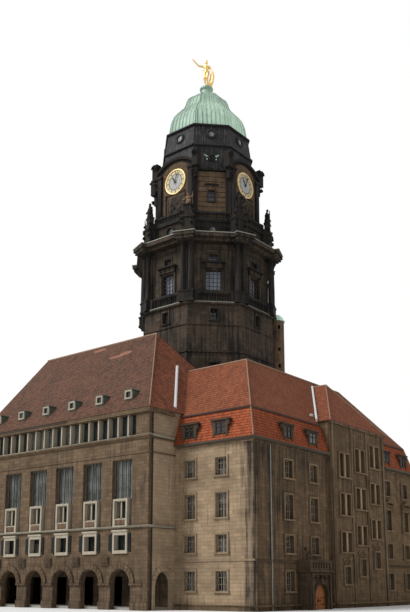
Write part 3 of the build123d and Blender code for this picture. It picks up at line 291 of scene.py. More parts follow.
dress(["side_walls", "stair_bay_wall", "wing_end_wall", "court_wall"], side_stone)
trim_stone = masonry("surround_stone", (0.34, 0.25, 0.16), (0.25, 0.18, 0.115), (0.085, 0.058, 0.036), 0.12,
                     0.3, 0.0012, 1.10, 1.5, edges=[("Y", -2.502, -2.492, 0.36), ("Y", 1.2, -2.4, 0.1)])
dress(["wing_trim", "wing_cornices"], trim_stone)
porch_stone = masonry("dark_porch_stone", (0.12, 0.082, 0.052), (0.075, 0.052, 0.034), (0.028, 0.022, 0.017),
                      0.06, 0.14, 0.0014, 0.95, 1.3)
dress(["porch", "balcony"], porch_stone)
tower_stone = masonry("sooty_sandstone", (0.130, 0.092, 0.064), (0.056, 0.043, 0.033), (0.020, 0.019, 0.017),
                      0.05, 0.11, 0.0018, 0.86, 1.16)
dress(["tower_sides", "tower_corners", "tower_trim", "tower_cornices"], tower_stone)
clock_stone = masonry("brown_tower_stone", (0.24, 0.160, 0.098), (0.14, 0.095, 0.060), (0.035, 0.028, 0.023),
                      0.05, 0.11, 0.0018, 0.95, 1.3)
dress(["clock_corners", "stair_turret"], clock_stone)
hood_stone = masonry("clock_wall_stone", (0.165, 0.108, 0.068), (0.09, 0.062, 0.041), (0.022, 0.019, 0.017),
                     0.05, 0.11, 0.0018, 1.0, 1.4, edges=[("Z", 7.60, 7.61, 0.3)])
CLOCK_Z = 7.2
clock_black = (0.022, 0.019, 0.017)
tree = hood_stone.node_tree
place = put(tree, "ShaderNodeTexCoord").outputs["Object"]
place = put(tree, "ShaderNodeVectorMath", {0: place}, operation="ABSOLUTE").outputs[0]
place = put(tree, "ShaderNodeSeparateXYZ", {0: place}).outputs
inner = math_of(tree, "MINIMUM", place["X"], place["Y"])
away = put(tree, "ShaderNodeCombineXYZ",
           {"X": inner, "Y": math_of(tree, "SUBTRACT", place["Z"], CLOCK_Z)}).outputs[0]
away = put(tree, "ShaderNodeVectorMath", {0: away}, operation="LENGTH").outputs["Value"]
hood = math_of(tree, "MULTIPLY", fit(tree, away, 0.365, 0.375), fit(tree, place["Z"], 7.3, 7.4))
foot = fit(tree, place["Z"], 6.40, 6.42, 0.75, 0.0)
ends = fit(tree, inner, 0.385, 0.395)
for mask in (hood, foot):
    ends = math_of(tree, "MAXIMUM", ends, mask)
overlaid(hood_stone, ends, clock_black)
dress(["clock_sides"], hood_stone)
black_stone = masonry("black_sandstone", (0.050, 0.043, 0.036), (0.030, 0.027, 0.024), (0.013, 0.012, 0.012),
                      0.12, 0.3, 0.0014, 0.86, 1.16)
dress(["tower_columns", "tower_balustrades", "corner_figures"], black_stone)


# Clay tiles: overlapping rows of plain tiles, each row throwing a thin shadow on the next, with odd tiles
# darker or newer than their neighbours. The arcade roof is old and brown, the side range newer, its steep
# part brightest.
def tiles(name, light, dark, moss, row, width, patches=(), newer=None, steep_below=0.0):
    """Tiles in rows. Patches are laid in newer tiles, and below one height all are brighter."""
    material, tree, shader, bump = finish_of(name)
    rows = coursed(tree, row, width, 0.0012)
    rain = weathered(tree, 0.35, 0.12, 0.5)
    mixed = math_of(tree, "ADD", rows["Tone"], rain["Blotches"])
    colour = between(tree, fit(tree, mixed, 0.45, 1.45), dark, light)
    colour = between(tree, fit(tree, rain["Streaks"], 0.5, 0.72, 0.0, 0.6), colour, moss)
    if newer:
        facing = put(tree, "ShaderNodeNewGeometry").outputs["Normal"]
        facing = put(tree, "ShaderNodeSeparateXYZ", {0: facing}).outputs["X"]
        colour = between(tree, fit(tree, facing, 0.2, 0.3, 0.0, 0.85), colour,
                         between(tree, fit(tree, mixed, 0.45, 1.45), *newer))
    place = put(tree, "ShaderNodeTexCoord").outputs["Object"]
    for spot, reach, new in patches:
        away = put(tree, "ShaderNodeVectorMath", {0: place, 1: spot}, operation="SUBTRACT")
        away = put(tree, "ShaderNodeVectorMath", {0: away.outputs[0], 1: reach}, operation="DIVIDE")
        away = put(tree, "ShaderNodeVectorMath", {0: away.outputs[0]}, operation="LENGTH").outputs["Value"]
        rough = math_of(tree, "ADD", away, rain["Blotches"])
        colour = between(tree, fit(tree, rough, 1.40, 1.50, 0.85, 0.0), colour, new)
    colour = between(tree, fit(tree, place_of(tree)["Z"], steep_below - 0.01, steep_below, 1.0, 0.0), colour,
                     between(tree, 1.0, colour, (1.30, 1.0, 0.80), "MULTIPLY"))
    colour = shaded(tree, colour, fit(tree, rows["Rise"], 0.0, 0.42, 0.22, 1.0))
    tree.links.new(colour, shader.inputs["Base Color"])
    shader.inputs["Roughness"].default_value = 0.82
    back = math_of(tree, "SUBTRACT", 1.0, rows["Rise"])
    tree.links.new(math_of(tree, "SUBTRACT", back, rows["Joint"]), bump.inputs["Height"])
    bump.inputs["Distance"].default_value = 0.006
    return material


old_tiles = tiles("old_brown_tiles", (0.175, 0.084, 0.053), (0.068, 0.036, 0.026), (0.085, 0.064, 0.050),
                  0.034, 0.026,
                  [((-0.84, -1.755, 4.105), (0.17, 0.05, 0.05), (0.36, 0.17, 0.12)),
                   ((-0.05, -1.965, 3.872), (0.13, 0.05, 0.045), (0.36, 0.17, 0.12)),
                   ((-0.22, -1.995, 3.838), (0.16, 0.04, 0.035), (0.36, 0.17, 0.12))],
                  newer=[(0.135, 0.056, 0.034), (0.37, 0.125, 0.066)])
dress(["arcade_roof"], old_tiles)
orange_tiles = tiles("orange_tiles", (0.30, 0.098, 0.047), (0.165, 0.052, 0.028), (0.15, 0.064, 0.038), 0.038,
                     0.024, steep_below=2.6)
dress(["wing_roof", "stair_bay_roof"], orange_tiles)

# Copper of the dome and the turret cap: sheets gone green, with paler run marks down every seam. On the dome
# the light falls as on a rounder form than its flat faces, and the upper part is darker. A painted highlight
# makes the copper brighter towards +X and +Y, on that side of the dome and over the whole turret cap.
DOME_FOOT = 8.2
SEAM_COUNT = 56
verdigris, tree, shader, bump = finish_of("verdigris_copper")
rain = weathered(tree, 0.2, 0.035, 0.6)
colour = between(tree, fit(tree, rain["Streaks"], 0.34, 0.66), (0.24, 0.345, 0.275), (0.37, 0.49, 0.40))
colour = between(tree, fit(tree, rain["Blotches"], 0.55, 0.75, 0.0, 0.5), colour, (0.25, 0.31, 0.21))
place = put(tree, "ShaderNodeTexCoord").outputs["Object"]
across = put(tree, "ShaderNodeVectorMath", {0: place, 1: (1, 1, 0)}, operation="DOT_PRODUCT").outputs["Value"]
spot = place_of(tree)
# Painted highlight: brighter towards +X and +Y; darker above Z 8.85.
painted_side_light_and_darker_top = math_of(tree, "MULTIPLY", fit(tree, across, -0.6, 0.6, 0.85, 1.95),
                   fit(tree, spot["Z"], 8.85, 9.1, 1.0, 0.76))
around = math_of(tree, "ARCTAN2", spot["Y"], spot["X"])
around = math_of(tree, "FRACT", math_of(tree, "MULTIPLY", around, SEAM_COUNT / (2 * pi)))
seam_shade = put(tree, "ShaderNodeMix",
                 {"Factor": fit(tree, spot["Z"], DOME_FOOT, DOME_FOOT + 0.05), "A": 1.0,
                  "B": fit(tree, around, 0.14, 0.34, 0.78, 1.05)}).outputs[0]
colour = shaded(tree, colour, math_of(tree, "MULTIPLY", painted_side_light_and_darker_top, seam_shade))
tree.links.new(colour, shader.inputs["Base Color"])
shader.inputs["Roughness"].default_value = 0.55
shader.inputs["Metallic"].default_value = 0.25
tree.links.new(rain["Grain"], bump.inputs["Height"])
true = put(tree, "ShaderNodeNewGeometry").outputs["Normal"]
lift = put(tree, "ShaderNodeSeparateXYZ", {0: true}).outputs["Z"]
level = put(tree, "ShaderNodeCombineXYZ", {"X": spot["X"], "Y": spot["Y"]})
level = put(tree, "ShaderNodeVectorMath", {0: level.outputs[0]}, operation="NORMALIZE")
flat = math_of(tree, "SQRT", math_of(tree, "SUBTRACT", 1.0, math_of(tree, "MULTIPLY", lift, lift)))
round_about = put(tree, "ShaderNodeVectorMath", {0: level.outputs[0], "Scale": flat}, operation="SCALE")
upward = put(tree, "ShaderNodeCombineXYZ", {"Z": lift})
round_about = put(tree, "ShaderNodeVectorMath", {0: round_about.outputs[0], 1: upward.outputs[0]},
                  operation="ADD")
soft = put(tree, "ShaderNodeMix", {"Factor": fit(tree, spot["Z"], DOME_FOOT, DOME_FOOT + 0.05, 0.0, 0.65)},
           data_type="VECTOR")
tree.links.new(true, soft.inputs[4])
tree.links.new(round_about.outputs[0], soft.inputs[5])
tree.links.new(soft.outputs[1], bump.inputs["Normal"])
dress(["dome", "turret_cap"], verdigris)

# Slate on the drum: near black, with pale lime streaks that run down from the copper. Each slate lies on the
# one below, so the rows step out a little at their lower edges.
slates, tree, shader, bump = finish_of("streaked_slate")
rows = coursed(tree, 0.02, 0.024, 0.001)
rain = weathered(tree, 0.4, 0.018, 0.55)
colour = between(tree, rows["Tone"], (0.014, 0.013, 0.014), (0.034, 0.031, 0.031))
colour = between(tree, fit(tree, rain["Streaks"], 0.54, 0.72, 0.0, 0.75), colour, (0.15, 0.15, 0.14))
tree.links.new(colour, shader.inputs["Base Color"])
shader.inputs["Roughness"].default_value = 0.6
tree.links.new(math_of(tree, "SUBTRACT", 1.0, rows["Rise"]), bump.inputs["Height"])
dress(["drum"], slates)


# Window glass: one dark glossy sheet a storey, with drawn curtains and blinds behind some of the panes. The
# tall arcade windows and those of the tower show a painted reflection of the pale sky instead, with soft
# bands in it.
def panes_of(name, dark, pale, curtain_from, tall=None):
    """Glass with curtains in some panes. Between the heights in tall it takes a painted reflection of the sky
    in two colours.
    """
    material, tree, shader, bump = finish_of(name)
    panes = coursed(tree, 0.45, 0.285, 0.0)
    folds = weathered(tree, 0.35, 0.014, 0.7)
    curtain = between(tree, fit(tree, folds["Streaks"], 0.35, 0.65), (0.10, 0.11, 0.11), pale)
    shown = math_of(tree, "ADD", panes["Tone"], folds["Blotches"])
    colour = between(tree, fit(tree, shown, curtain_from, curtain_from + 0.2), dark, curtain)
    if tall:
        bottom, top, low_sky, high_sky = tall
        height = place_of(tree)["Z"]
        # Painted reflection of the sky, in two colours, in the glass between the two heights.
        sky = between(tree, fit(tree, folds["Blotches"], 0.42, 0.6), low_sky, high_sky)
        inside = math_of(tree, "MULTIPLY", fit(tree, height, bottom, bottom + 0.005),
                         fit(tree, height, top, top + 0.005, 1.0, 0.0))
        colour = between(tree, inside, colour, sky)
    tree.links.new(colour, shader.inputs["Base Color"])
    shader.inputs["Roughness"].default_value = 0.08
    shader.inputs["Specular IOR Level"].default_value = 0.5
    bump.inputs["Strength"].default_value = 0.05
    tree.links.new(folds["Blotches"], bump.inputs["Height"])
    return material


glass = panes_of("window_glass", (0.016, 0.020, 0.023), (0.26, 0.28, 0.27), 1.12)
dress(["wing_glass"], glass)
arcade_pane = panes_of("arcade_glass", (0.020, 0.027, 0.026), (0.15, 0.15, 0.13), 1.25,
                       (1.44, 1.97, (0.075, 0.083, 0.078), (0.19, 0.205, 0.195)))
dress(["arcade_glass"], arcade_pane)
tower_pane = panes_of("tower_glass", (0.03, 0.035, 0.05), (0.30, 0.32, 0.36), 1.3,
                      (4.9, 9.0, (0.16, 0.18, 0.24), (0.34, 0.38, 0.48)))
dress(["tower_glass"], tower_pane)

# Painted metal, timber and other plain finishes of the small parts: a coat with slight grime in streaks. The
# tall arcade windows have darker frames than the rest, and the down pipe by the arcade is painted dark.
def paint(name, colour, rough, metal=0.0, vary=0.2, grime=(0.08, 0.07, 0.06)):
    """A painted or bare surface with slight grime in streaks and a fine grain."""
    material, tree, shader, bump = finish_of(name)
    rain = weathered(tree, 0.12, 0.02, 0.25)
    dirty = fit(tree, rain["Streaks"], 0.42, 0.8, 0.0, vary)
    tree.links.new(between(tree, dirty, colour, grime), shader.inputs["Base Color"])
    tree.links.new(fit(tree, rain["Blotches"], 0.3, 0.7, rough * 0.8, min(rough * 1.2, 1)),
                   shader.inputs["Roughness"])
    shader.inputs["Metallic"].default_value = metal
    bump.inputs["Strength"].default_value = 0.15
    tree.links.new(rain["Grain"], bump.inputs["Height"])
    return material


cream = paint("cream_frame_paint", (0.40, 0.35, 0.27), 0.6, vary=0.6)
dress(["wing_windows"], cream)
frame_paint = cream.copy()
frame_paint.name = "arcade_frame_paint"
tree = frame_paint.node_tree
height = place_of(tree)["Z"]
tall = math_of(tree, "MULTIPLY", fit(tree, height, 1.442, 1.444), fit(tree, height, 1.99, 1.995, 1.0, 0.0))
overlaid(frame_paint, tall, (0.14, 0.135, 0.112))
dress(["arcade_windows"], frame_paint)
brown_paint = paint("dark_brown_paint", (0.045, 0.036, 0.030), 0.5)
dress(["tower_windows"], brown_paint)
gold = paint("gold_leaf", (0.76, 0.52, 0.20), 0.30, metal=1.0, vary=0.35, grime=(0.30, 0.17, 0.06))
dress(["gilded_figure", "clock_rings"], gold)
dial = paint("pale_dial", (0.42, 0.42, 0.40), 0.5, vary=0.6, grime=(0.2, 0.19, 0.16))
dress(["clock_dials"], dial)
pipe_paint = paint("pale_pipe_zinc", (0.26, 0.27, 0.25), 0.5, metal=0.3, vary=0.5)
tree = pipe_paint.node_tree
overlaid(pipe_paint, fit(tree, place_of(tree)["X"], 2.0, 2.01, 1.0, 0.0), (0.030, 0.032, 0.024))
dress(["down_pipes"], pipe_paint)
iron = paint("black_iron", (0.02, 0.02, 0.022), 0.45, metal=0.3)
dress(["front_hour_hand", "front_minute_hand", "side_hour_hand", "side_minute_hand", "door_pins"], iron)
floors_paint = paint("plain_floor_slab", (0.30, 0.28, 0.25), 0.9)
dress(["arcade_floors", "wing_floors", "tower_floors"], floors_paint)
oak = paint("orange_brown_oak", (0.36, 0.125, 0.035), 0.45, vary=0.6, grime=(0.12, 0.045, 0.02))
dress(["door_leaf_left", "door_leaf_right"], oak)

# Window bars: pale painted bars stand in every opening, in front of the glass. Each is one small block that
# is copied on marked spots. Tall arcade windows have four lights and a transom, the others are halved or
# quartered.
def added(name, mesh, material, body="building", instead_of=()):
    """Puts a finished mesh into the scene as a piece of one body, in place of the CAD nodes it stands for."""
    mesh.materials.clear()
    mesh.materials.append(material)
    for face in mesh.polygons:
        face.material_index = 0
    made = bpy.data.objects.new(name, mesh)
    bpy.context.scene.collection.objects.link(made)
    if instead_of:
        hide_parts(*instead_of)
    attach(made, body)
    return made


def mesh_of(corners, faces, smooth=False):
    """A mesh from corners and faces, with its faces turned outwards."""
    mesh = bpy.data.meshes.new("shape")
    mesh.from_pydata([tuple(c) for c in corners], [], faces)
    shape = bmesh.new()
    shape.from_mesh(mesh)
    bmesh.ops.recalc_face_normals(shape, faces=shape.faces)
    shape.to_mesh(mesh)
    shape.free()
    for face in mesh.polygons:
        face.use_smooth = smooth
    return mesh


def tree_of(name, inputs):
    """An empty geometry tree with named inputs. Its nodes are added by the caller."""
    tree = bpy.data.node_groups.new(name, "GeometryNodeTree")
    for label, kind in (("Geometry", "NodeSocketGeometry"), *inputs):
        tree.interface.new_socket(label, in_out="INPUT", socket_type=kind)
    tree.interface.new_socket("Geometry", in_out="OUTPUT", socket_type="NodeSocketGeometry")
    return tree, tree.nodes.new("NodeGroupInput").outputs, tree.nodes.new("NodeGroupOutput").inputs


def grown(tree, base, values):
    """Runs a geometry tree on a mesh and gives back the plain mesh that it makes."""
    holder = bpy.data.objects.new("holder", base)
    bpy.context.scene.collection.objects.link(holder)
    work = holder.modifiers.new("work", "NODES")
    work.node_group = tree
    for item in tree.interface.items_tree:
        if item.in_out == "INPUT" and item.name in values:
            work[item.identifier] = values[item.name]
    bpy.context.view_layer.update()
    plain = bpy.data.meshes.new_from_object(holder.evaluated_get(bpy.context.evaluated_depsgraph_get()))
    holder.modifiers.remove(work)
    bpy.data.objects.remove(holder)
    return plain


spot_tree, given, out = tree_of("copies_on_spots",
                                [("Shape", "NodeSocketObject"), ("Finish", "NodeSocketMaterial"),
                                 ("Overall size", "NodeSocketFloat")])
shape = put(spot_tree, "GeometryNodeObjectInfo", {"Object": given["Shape"]})
turn = put(spot_tree, "GeometryNodeInputNamedAttribute", {"Name": "turn"}, data_type="FLOAT_VECTOR")
size = put(spot_tree, "GeometryNodeInputNamedAttribute", {"Name": "size"}, data_type="FLOAT_VECTOR")
size = put(spot_tree, "ShaderNodeVectorMath", {0: size.outputs["Attribute"], "Scale": given["Overall size"]},
           operation="SCALE")
spots = put(spot_tree, "GeometryNodeMeshToPoints", {"Mesh": given["Geometry"]})
copies = put(spot_tree, "GeometryNodeInstanceOnPoints",
             {"Points": spots.outputs[0], "Instance": shape.outputs["Geometry"],
              "Rotation": turn.outputs["Attribute"], "Scale": size.outputs[0]})
copies = put(spot_tree, "GeometryNodeRealizeInstances", {0: copies.outputs[0]})
copies = put(spot_tree, "GeometryNodeSetMaterial",
             {"Geometry": copies.outputs[0], "Material": given["Finish"]})
spot_tree.links.new(copies.outputs[0], out["Geometry"])


def copied(shape_mesh, spots, material):
    """Copies of a small shape, one on each spot: a place, a turn about each axis and a size along each."""
    base = bpy.data.meshes.new("spots")
    base.from_pydata([tuple(s[0]) for s in spots], [], [])
    for name, index in (("turn", 1), ("size", 2)):
        marks = base.attributes.new(name, "FLOAT_VECTOR", "POINT")
        marks.data.foreach_set("vector", [v for s in spots for v in s[index]])
    pattern = bpy.data.objects.new("pattern", shape_mesh)
    bpy.context.scene.collection.objects.link(pattern)
    made = grown(spot_tree, base, {"Shape": pattern, "Finish": material, "Overall size": 1.0})
    bpy.data.objects.remove(pattern)
    return made


def block():
    """A cube of one metre about its centre, to be sized on each spot."""
    h = 0.5
    corners = [(x, y, z) for x in (-h, h) for y in (-h, h) for z in (-h, h)]
    return mesh_of(corners,
                   [(0, 1, 3, 2), (4, 6, 7, 5), (0, 4, 5, 1), (2, 3, 7, 6), (0, 2, 6, 4), (1, 5, 7, 3)])


NO_TURN = (0, 0, 0)


def blocks_at(spots, material):
    """Plain blocks, one on each spot."""
    return copied(block(), spots, material)


def on_wall(u, depth, z, facing_side):
    """A place on a wall by its length along it. A front wall runs along X, a side wall along Y."""
    return (depth, u, z) if facing_side else (u, depth, z)


def bars(u, depth, z0, z1, width, across, up, thick, side=False):
    """Spots for the upright and level bars of one window."""
    found, turn = [], (0, 0, pi / 2 if side else 0)
    for i in range(1, across):
        found.append((on_wall(u - width / 2 + width * i / across, depth, (z0 + z1) / 2, side), turn,
                      (thick, 0.012, z1 - z0)))
    for share in up:
        found.append((on_wall(u, depth, z0 + (z1 - z0) * share, side), turn, (width, 0.012, thick)))
    return found


CORNER_X, CORNER_Y = 2.735, -2.505
ARCADE_Y = -3.03
FIRST_BAY, BAY_STEP = 0.968, 0.57
bay_x = [FIRST_BAY - BAY_STEP * i for i in range(6)]
rows = [(0.240, 0.490), (0.725, 0.950), (1.165, 1.485), (1.710, 1.945)]
arcade_bars, pale_bars = [], []
for x in bay_x:
    arcade_bars += bars(x, ARCADE_Y + 0.046, 1.44, 1.965, 0.37, 5, (0.30, 0.62), 0.0036)
    pale_bars += bars(x, ARCADE_Y + 0.002, 1.173, 1.412, 0.209, 2, (0.0,), 0.020)
wing_bars = []
front_cols = (CORNER_X - 1.02, CORNER_X - 0.5)
for x in front_cols:
    for z0, z1 in rows:
        wing_bars += bars(x, CORNER_Y + 0.036, z0, z1, 0.18, 3, (0.68, 0.34), 0.006)
side_cols = [CORNER_Y + d for d in (0.79, 1.43, 3.7, 4.32)]
over_porch = side_cols[1]
side_openings = [(y, z0, z1) for y in side_cols for z0, z1 in rows if y != over_porch or z0 > 0.5]
for y, z0, z1 in side_openings:
    wing_bars += bars(y, CORNER_X - 0.036, z0, z1, 0.19, 3, (0.68, 0.34), 0.006, True)
stair_cols = [CORNER_Y + 1.84 + d for d in (0.37, 0.84, 1.31)]
stair_rows = [(0.78, 1.055), (1.305, 1.61), (1.86, 2.2)]
STAIR_RISE = 0.115
for i, y in enumerate(stair_cols):
    for z0, z1 in stair_rows:
        for shift in (-0.088, 0.088):
            wing_bars += bars(y + shift, CORNER_X + 0.024, z0 + STAIR_RISE * i, z1 + STAIR_RISE * i, 0.122, 2,
                              (0.33, 0.66), 0.007, True)
    wing_bars += bars(y, CORNER_X + 0.024, 0.33 + STAIR_RISE * i, 0.57 + STAIR_RISE * i, 0.18, 3, (0.5,),
                      0.007, True)
grey_bars = paint("grey_bar_paint", (0.075, 0.072, 0.062), 0.5, vary=0.4)
added("arcade_glazing_bars", blocks_at(arcade_bars, grey_bars), grey_bars)
added("box_window_posts", blocks_at(pale_bars, cream), cream)
bar_paint = paint("dull_bar_paint", (0.25, 0.23, 0.185), 0.6, vary=0.6)
added("side_range_glazing_bars", blocks_at(wing_bars, bar_paint), bar_paint)

# Carved panels under the box windows: brown stone slabs with a generic leaf relief, let into the pale frames.
# Each is a small grid pushed out in rounded bosses and stems.
carved = masonry("carved_brown_stone", (0.20, 0.13, 0.085), (0.14, 0.09, 0.06), (0.03, 0.022, 0.018), 0.2,
                 0.3, 0.001, 0.98, 1.3)


def relief(width, height, depth, bosses, nx=22, nz=12):
    """A slab front with rounded bosses, as places and sizes in shares of its width and height."""
    corners, faces = [], []
    for j in range(nz + 1):
        for i in range(nx + 1):
            u, v = i / nx - 0.5, j / nz - 0.5
            out_by = sum(max(0.0, 1 - ((u - a) / r) ** 2 - ((v - b) / q) ** 2) ** 0.5 * d
                         for a, b, r, q, d in bosses if ((u - a) / r) ** 2 + ((v - b) / q) ** 2 < 1)
            rim = min(u + 0.5, 0.5 - u, v + 0.5, 0.5 - v) < 0.001
            corners.append((u * width, 0.006 if rim else -depth * out_by, v * height))
    for j in range(nz):
        for i in range(nx):
            a = j * (nx + 1) + i
            faces.append((a, a + 1, a + nx + 2, a + nx + 1))
    return mesh_of(corners, faces, True)


def facing_out(mesh):
    """Turns a shallow relief's faces towards the front, where its shape alone can't tell."""
    if sum(face.normal.y * face.area for face in mesh.polygons) > 0:
        mesh.flip_normals()
    return mesh


leaves = [(-0.32, 0.0, 0.12, 0.36, 1), (0.32, 0.0, 0.12, 0.36, 1), (0.0, 0.05, 0.15, 0.4, 1.2),
          (-0.16, -0.2, 0.1, 0.2, 0.7), (0.16, -0.2, 0.1, 0.2, 0.7), (-0.16, 0.25, 0.09, 0.18, 0.7),
          (0.16, 0.25, 0.09, 0.18, 0.7)]
panel = facing_out(relief(0.205, 0.09, 0.012, leaves))
added("carved_window_panels",
      copied(panel, [((x, ARCADE_Y - 0.030, 1.124), NO_TURN, (1, 1, 1)) for x in bay_x], carved), carved)

# Tower balustrades: turned stone balusters between a plinth and a coping, below the columns and round the
# clocks. A row of balusters and two long strips follow the line of each rail and are let into the pedestals.
row_tree, given, out = tree_of("row_along_path",
                               [("Shape", "NodeSocketObject"), ("Finish", "NodeSocketMaterial"),
                                ("Spacing", "NodeSocketFloat")])
line = put(row_tree, "GeometryNodeMeshToCurve", {"Mesh": given["Geometry"]})
shape = put(row_tree, "GeometryNodeObjectInfo", {"Object": given["Shape"]})
stops = put(row_tree, "GeometryNodeCurveToPoints", {"Curve": line.outputs[0], "Length": given["Spacing"]},
            mode="LENGTH")
turn = put(row_tree, "FunctionNodeAxesToRotation",
           {"Primary Axis": stops.outputs["Tangent"], "Secondary Axis": (0, 0, 1)}, primary_axis="X",
           secondary_axis="Z")
copies = put(row_tree, "GeometryNodeInstanceOnPoints", {"Points": stops.outputs["Points"],
                                                        "Instance": shape.outputs["Geometry"],
                                                        "Rotation": turn.outputs[0]})
copies = put(row_tree, "GeometryNodeRealizeInstances", {0: copies.outputs[0]})
copies = put(row_tree, "GeometryNodeSetMaterial",
             {"Geometry": copies.outputs[0], "Material": given["Finish"]})
row_tree.links.new(copies.outputs[0], out["Geometry"])

strip_tree, given, out = tree_of("strip_along_path",
                                 [("Finish", "NodeSocketMaterial"), ("Width", "NodeSocketFloat"),
                                  ("Height", "NodeSocketFloat")])
line = put(strip_tree, "GeometryNodeMeshToCurve", {"Mesh": given["Geometry"]})
line = put(strip_tree, "GeometryNodeSetCurveNormal", {"Curve": line.outputs[0]}, mode="Z_UP")
across = put(strip_tree, "GeometryNodeCurvePrimitiveQuadrilateral",
             {"Width": given["Height"], "Height": given["Width"]})
strip = put(strip_tree, "GeometryNodeCurveToMesh",
            {"Curve": line.outputs[0], "Profile Curve": across.outputs[0], "Fill Caps": True})
strip = put(strip_tree, "GeometryNodeSetMaterial",
            {"Geometry": strip.outputs[0], "Material": given["Finish"]})
strip_tree.links.new(strip.outputs[0], out["Geometry"])


def path_mesh(lines):
    """Open lines as loose edges, each one a run of places."""
    corners, edges = [], []
    for line in lines:
        edges += [(len(corners) + i, len(corners) + i + 1) for i in range(len(line) - 1)]
        corners += [tuple(p) for p in line]
    mesh = bpy.data.meshes.new("lines")
    mesh.from_pydata(corners, edges, [])
    return mesh


def row(shape_mesh, lines, spacing, material):
    """Copies of a shape at even steps along each line, turned to follow it."""
    pattern = bpy.data.objects.new("pattern", shape_mesh)
    bpy.context.scene.collection.objects.link(pattern)
    made = grown(row_tree, path_mesh(lines), {"Shape": pattern, "Finish": material, "Spacing": spacing})
    bpy.data.objects.remove(pattern)
    return made


def strip(lines, width, height, material):
    """A bar of the given width and height along each line."""
    return grown(strip_tree, path_mesh(lines), {"Finish": material, "Width": width, "Height": height})


def merged(meshes):
    """Several meshes as one."""
    whole = bmesh.new()
    for mesh in meshes:
        whole.from_mesh(mesh)
    joined = bpy.data.meshes.new("joined")
    bmesh.ops.recalc_face_normals(whole, faces=whole.faces)
    whole.to_mesh(joined)
    whole.free()
    return joined


def lathed(profile, sides, smooth=True, squash=(1, 1)):
    """A turned form from pairs of radius and height, closed at both ends."""
    corners = [(r * squash[0] * cos(2 * pi * i / sides), r * squash[1] * sin(2 * pi * i / sides), z)
               for r, z in profile for i in range(sides)]
    faces = [tuple(range(sides))[::-1], tuple(range((len(profile) - 1) * sides, len(profile) * sides))]
    for j in range(len(profile) - 1):
        faces += [(j * sides + i, j * sides + (i + 1) % sides, (j + 1) * sides + (i + 1) % sides,
                   (j + 1) * sides + i) for i in range(sides)]
    mesh = mesh_of(corners, faces, smooth)
    mesh.polygons[0].use_smooth = mesh.polygons[1].use_smooth = False
    return mesh


def round_tower(k, u, out_by, z):
    """A place beside side k of the tower, u along it and out_by from the axis."""
    a = radians(45 * k)
    return (u * cos(a) + out_by * sin(a), u * sin(a) - out_by * cos(a), z)


def side_turn(k):
    """The turn of a block that lies along side k of the tower."""
    return (0, 0, radians(45 * k))


def corner_turn(k):
    """The direction of corner k of the tower from its axis."""
    return radians(-67.5 + 45 * k)


def baluster(height):
    """One stone baluster, square at both ends and swelling low down."""
    profile = [(0.013, 0), (0.013, 0.08), (0.008, 0.12), (0.0155, 0.34), (0.007, 0.7), (0.0125, 0.86),
               (0.0125, 1)]
    return lathed([(r, z * height) for r, z in profile], 8)


clock_sides, diagonal_sides = (0, 2, 4, 6), (1, 3, 5, 7)
low_rails = [[round_tower(k, u, 1.098, 4.875) for u in (-0.29, 0.29)] for k in range(8)]
high_rails = [[round_tower(k, u, 0.974, 6.425) for u in (-0.33, 0.33)] for k in clock_sides]
high_rails += [[round_tower(k, u, 0.864, 6.425) for u in (-0.27, 0.27)] for k in diagonal_sides]


def raised(lines, by):
    """The same lines, lifted."""
    return [[(x, y, z + by) for x, y, z in line] for line in lines]


rails = [row(baluster(0.135), low_rails, 0.041, black_stone),
         row(baluster(0.095), high_rails, 0.038, black_stone)]
for lines, top in ((low_rails, 0.135), (high_rails, 0.095)):
    rails += [strip(raised(lines, -0.012), 0.044, 0.026, black_stone),
              strip(raised(lines, top + 0.012), 0.050, 0.030, black_stone)]
posts = [(round_tower(k, u, 1.098, 4.948), side_turn(k), (0.05, 0.05, 0.196)) for k in range(8)
         for u in (-0.3, 0.3)]
posts += [(round_tower(k, u, 0.974, 6.476), side_turn(k), (0.055, 0.055, 0.152)) for k in clock_sides
          for u in (-0.335, 0.335)]
rails.append(blocks_at(posts, black_stone))
added("tower_stone_balustrades", merged(rails), black_stone, instead_of=["tower_balustrades"])

# Paired columns: smooth turned shafts with a swelling, a moulded foot and a leafy cap, on square pedestals.
# Each pair stands on one of the tower's eight corners and carries the main cornice.
ring_r = 1.085 / cos(radians(22.5))
shaft = [(0.054, 5.045), (0.054, 5.06), (0.047, 5.068), (0.053, 5.08), (0.045, 5.094), (0.0455, 5.3),
         (0.0385, 5.80), (0.043, 5.806), (0.0385, 5.814), (0.041, 5.83), (0.052, 5.866), (0.054, 5.872),
         (0.054, 5.89)]
columns, feet, bosses = [], [], []
for k in range(8):
    a = corner_turn(k)
    for shift in (-0.064, 0.064):
        x, y = ring_r * cos(a) - shift * sin(a), ring_r * sin(a) + shift * cos(a)
        columns.append(((x, y, 0), (0, 0, a), (1, 1, 1)))
        for turned_by in range(8):
            b = a + turned_by * pi / 4
            bosses.append(((x + 0.046 * cos(b), y + 0.046 * sin(b), 5.845), (0, 0, b), (0.018, 0.024, 0.034)))
    x, y = ring_r * cos(a), ring_r * sin(a)
    for z, high, wide, deep in ((4.945, 0.19, 0.236, 0.104), (4.866, 0.032, 0.256, 0.122),
                                (5.03, 0.03, 0.256, 0.122)):
        feet.append(((x, y, z), (0, 0, a), (deep, wide, high)))
added("tower_round_columns",
      merged([copied(lathed(shaft, 16), columns, black_stone), blocks_at(feet + bosses, black_stone)]),
      black_stone, instead_of=["tower_columns"])

# Main cornice of the tower: a projecting crown over every pair of columns, small square blocks under the slab
# all round, and thin lead sheets on top whose weathered edges catch the light.
lead = paint("weathered_lead", (0.27, 0.28, 0.225), 0.5, metal=0.2, vary=0.9, grime=(0.13, 0.13, 0.10))


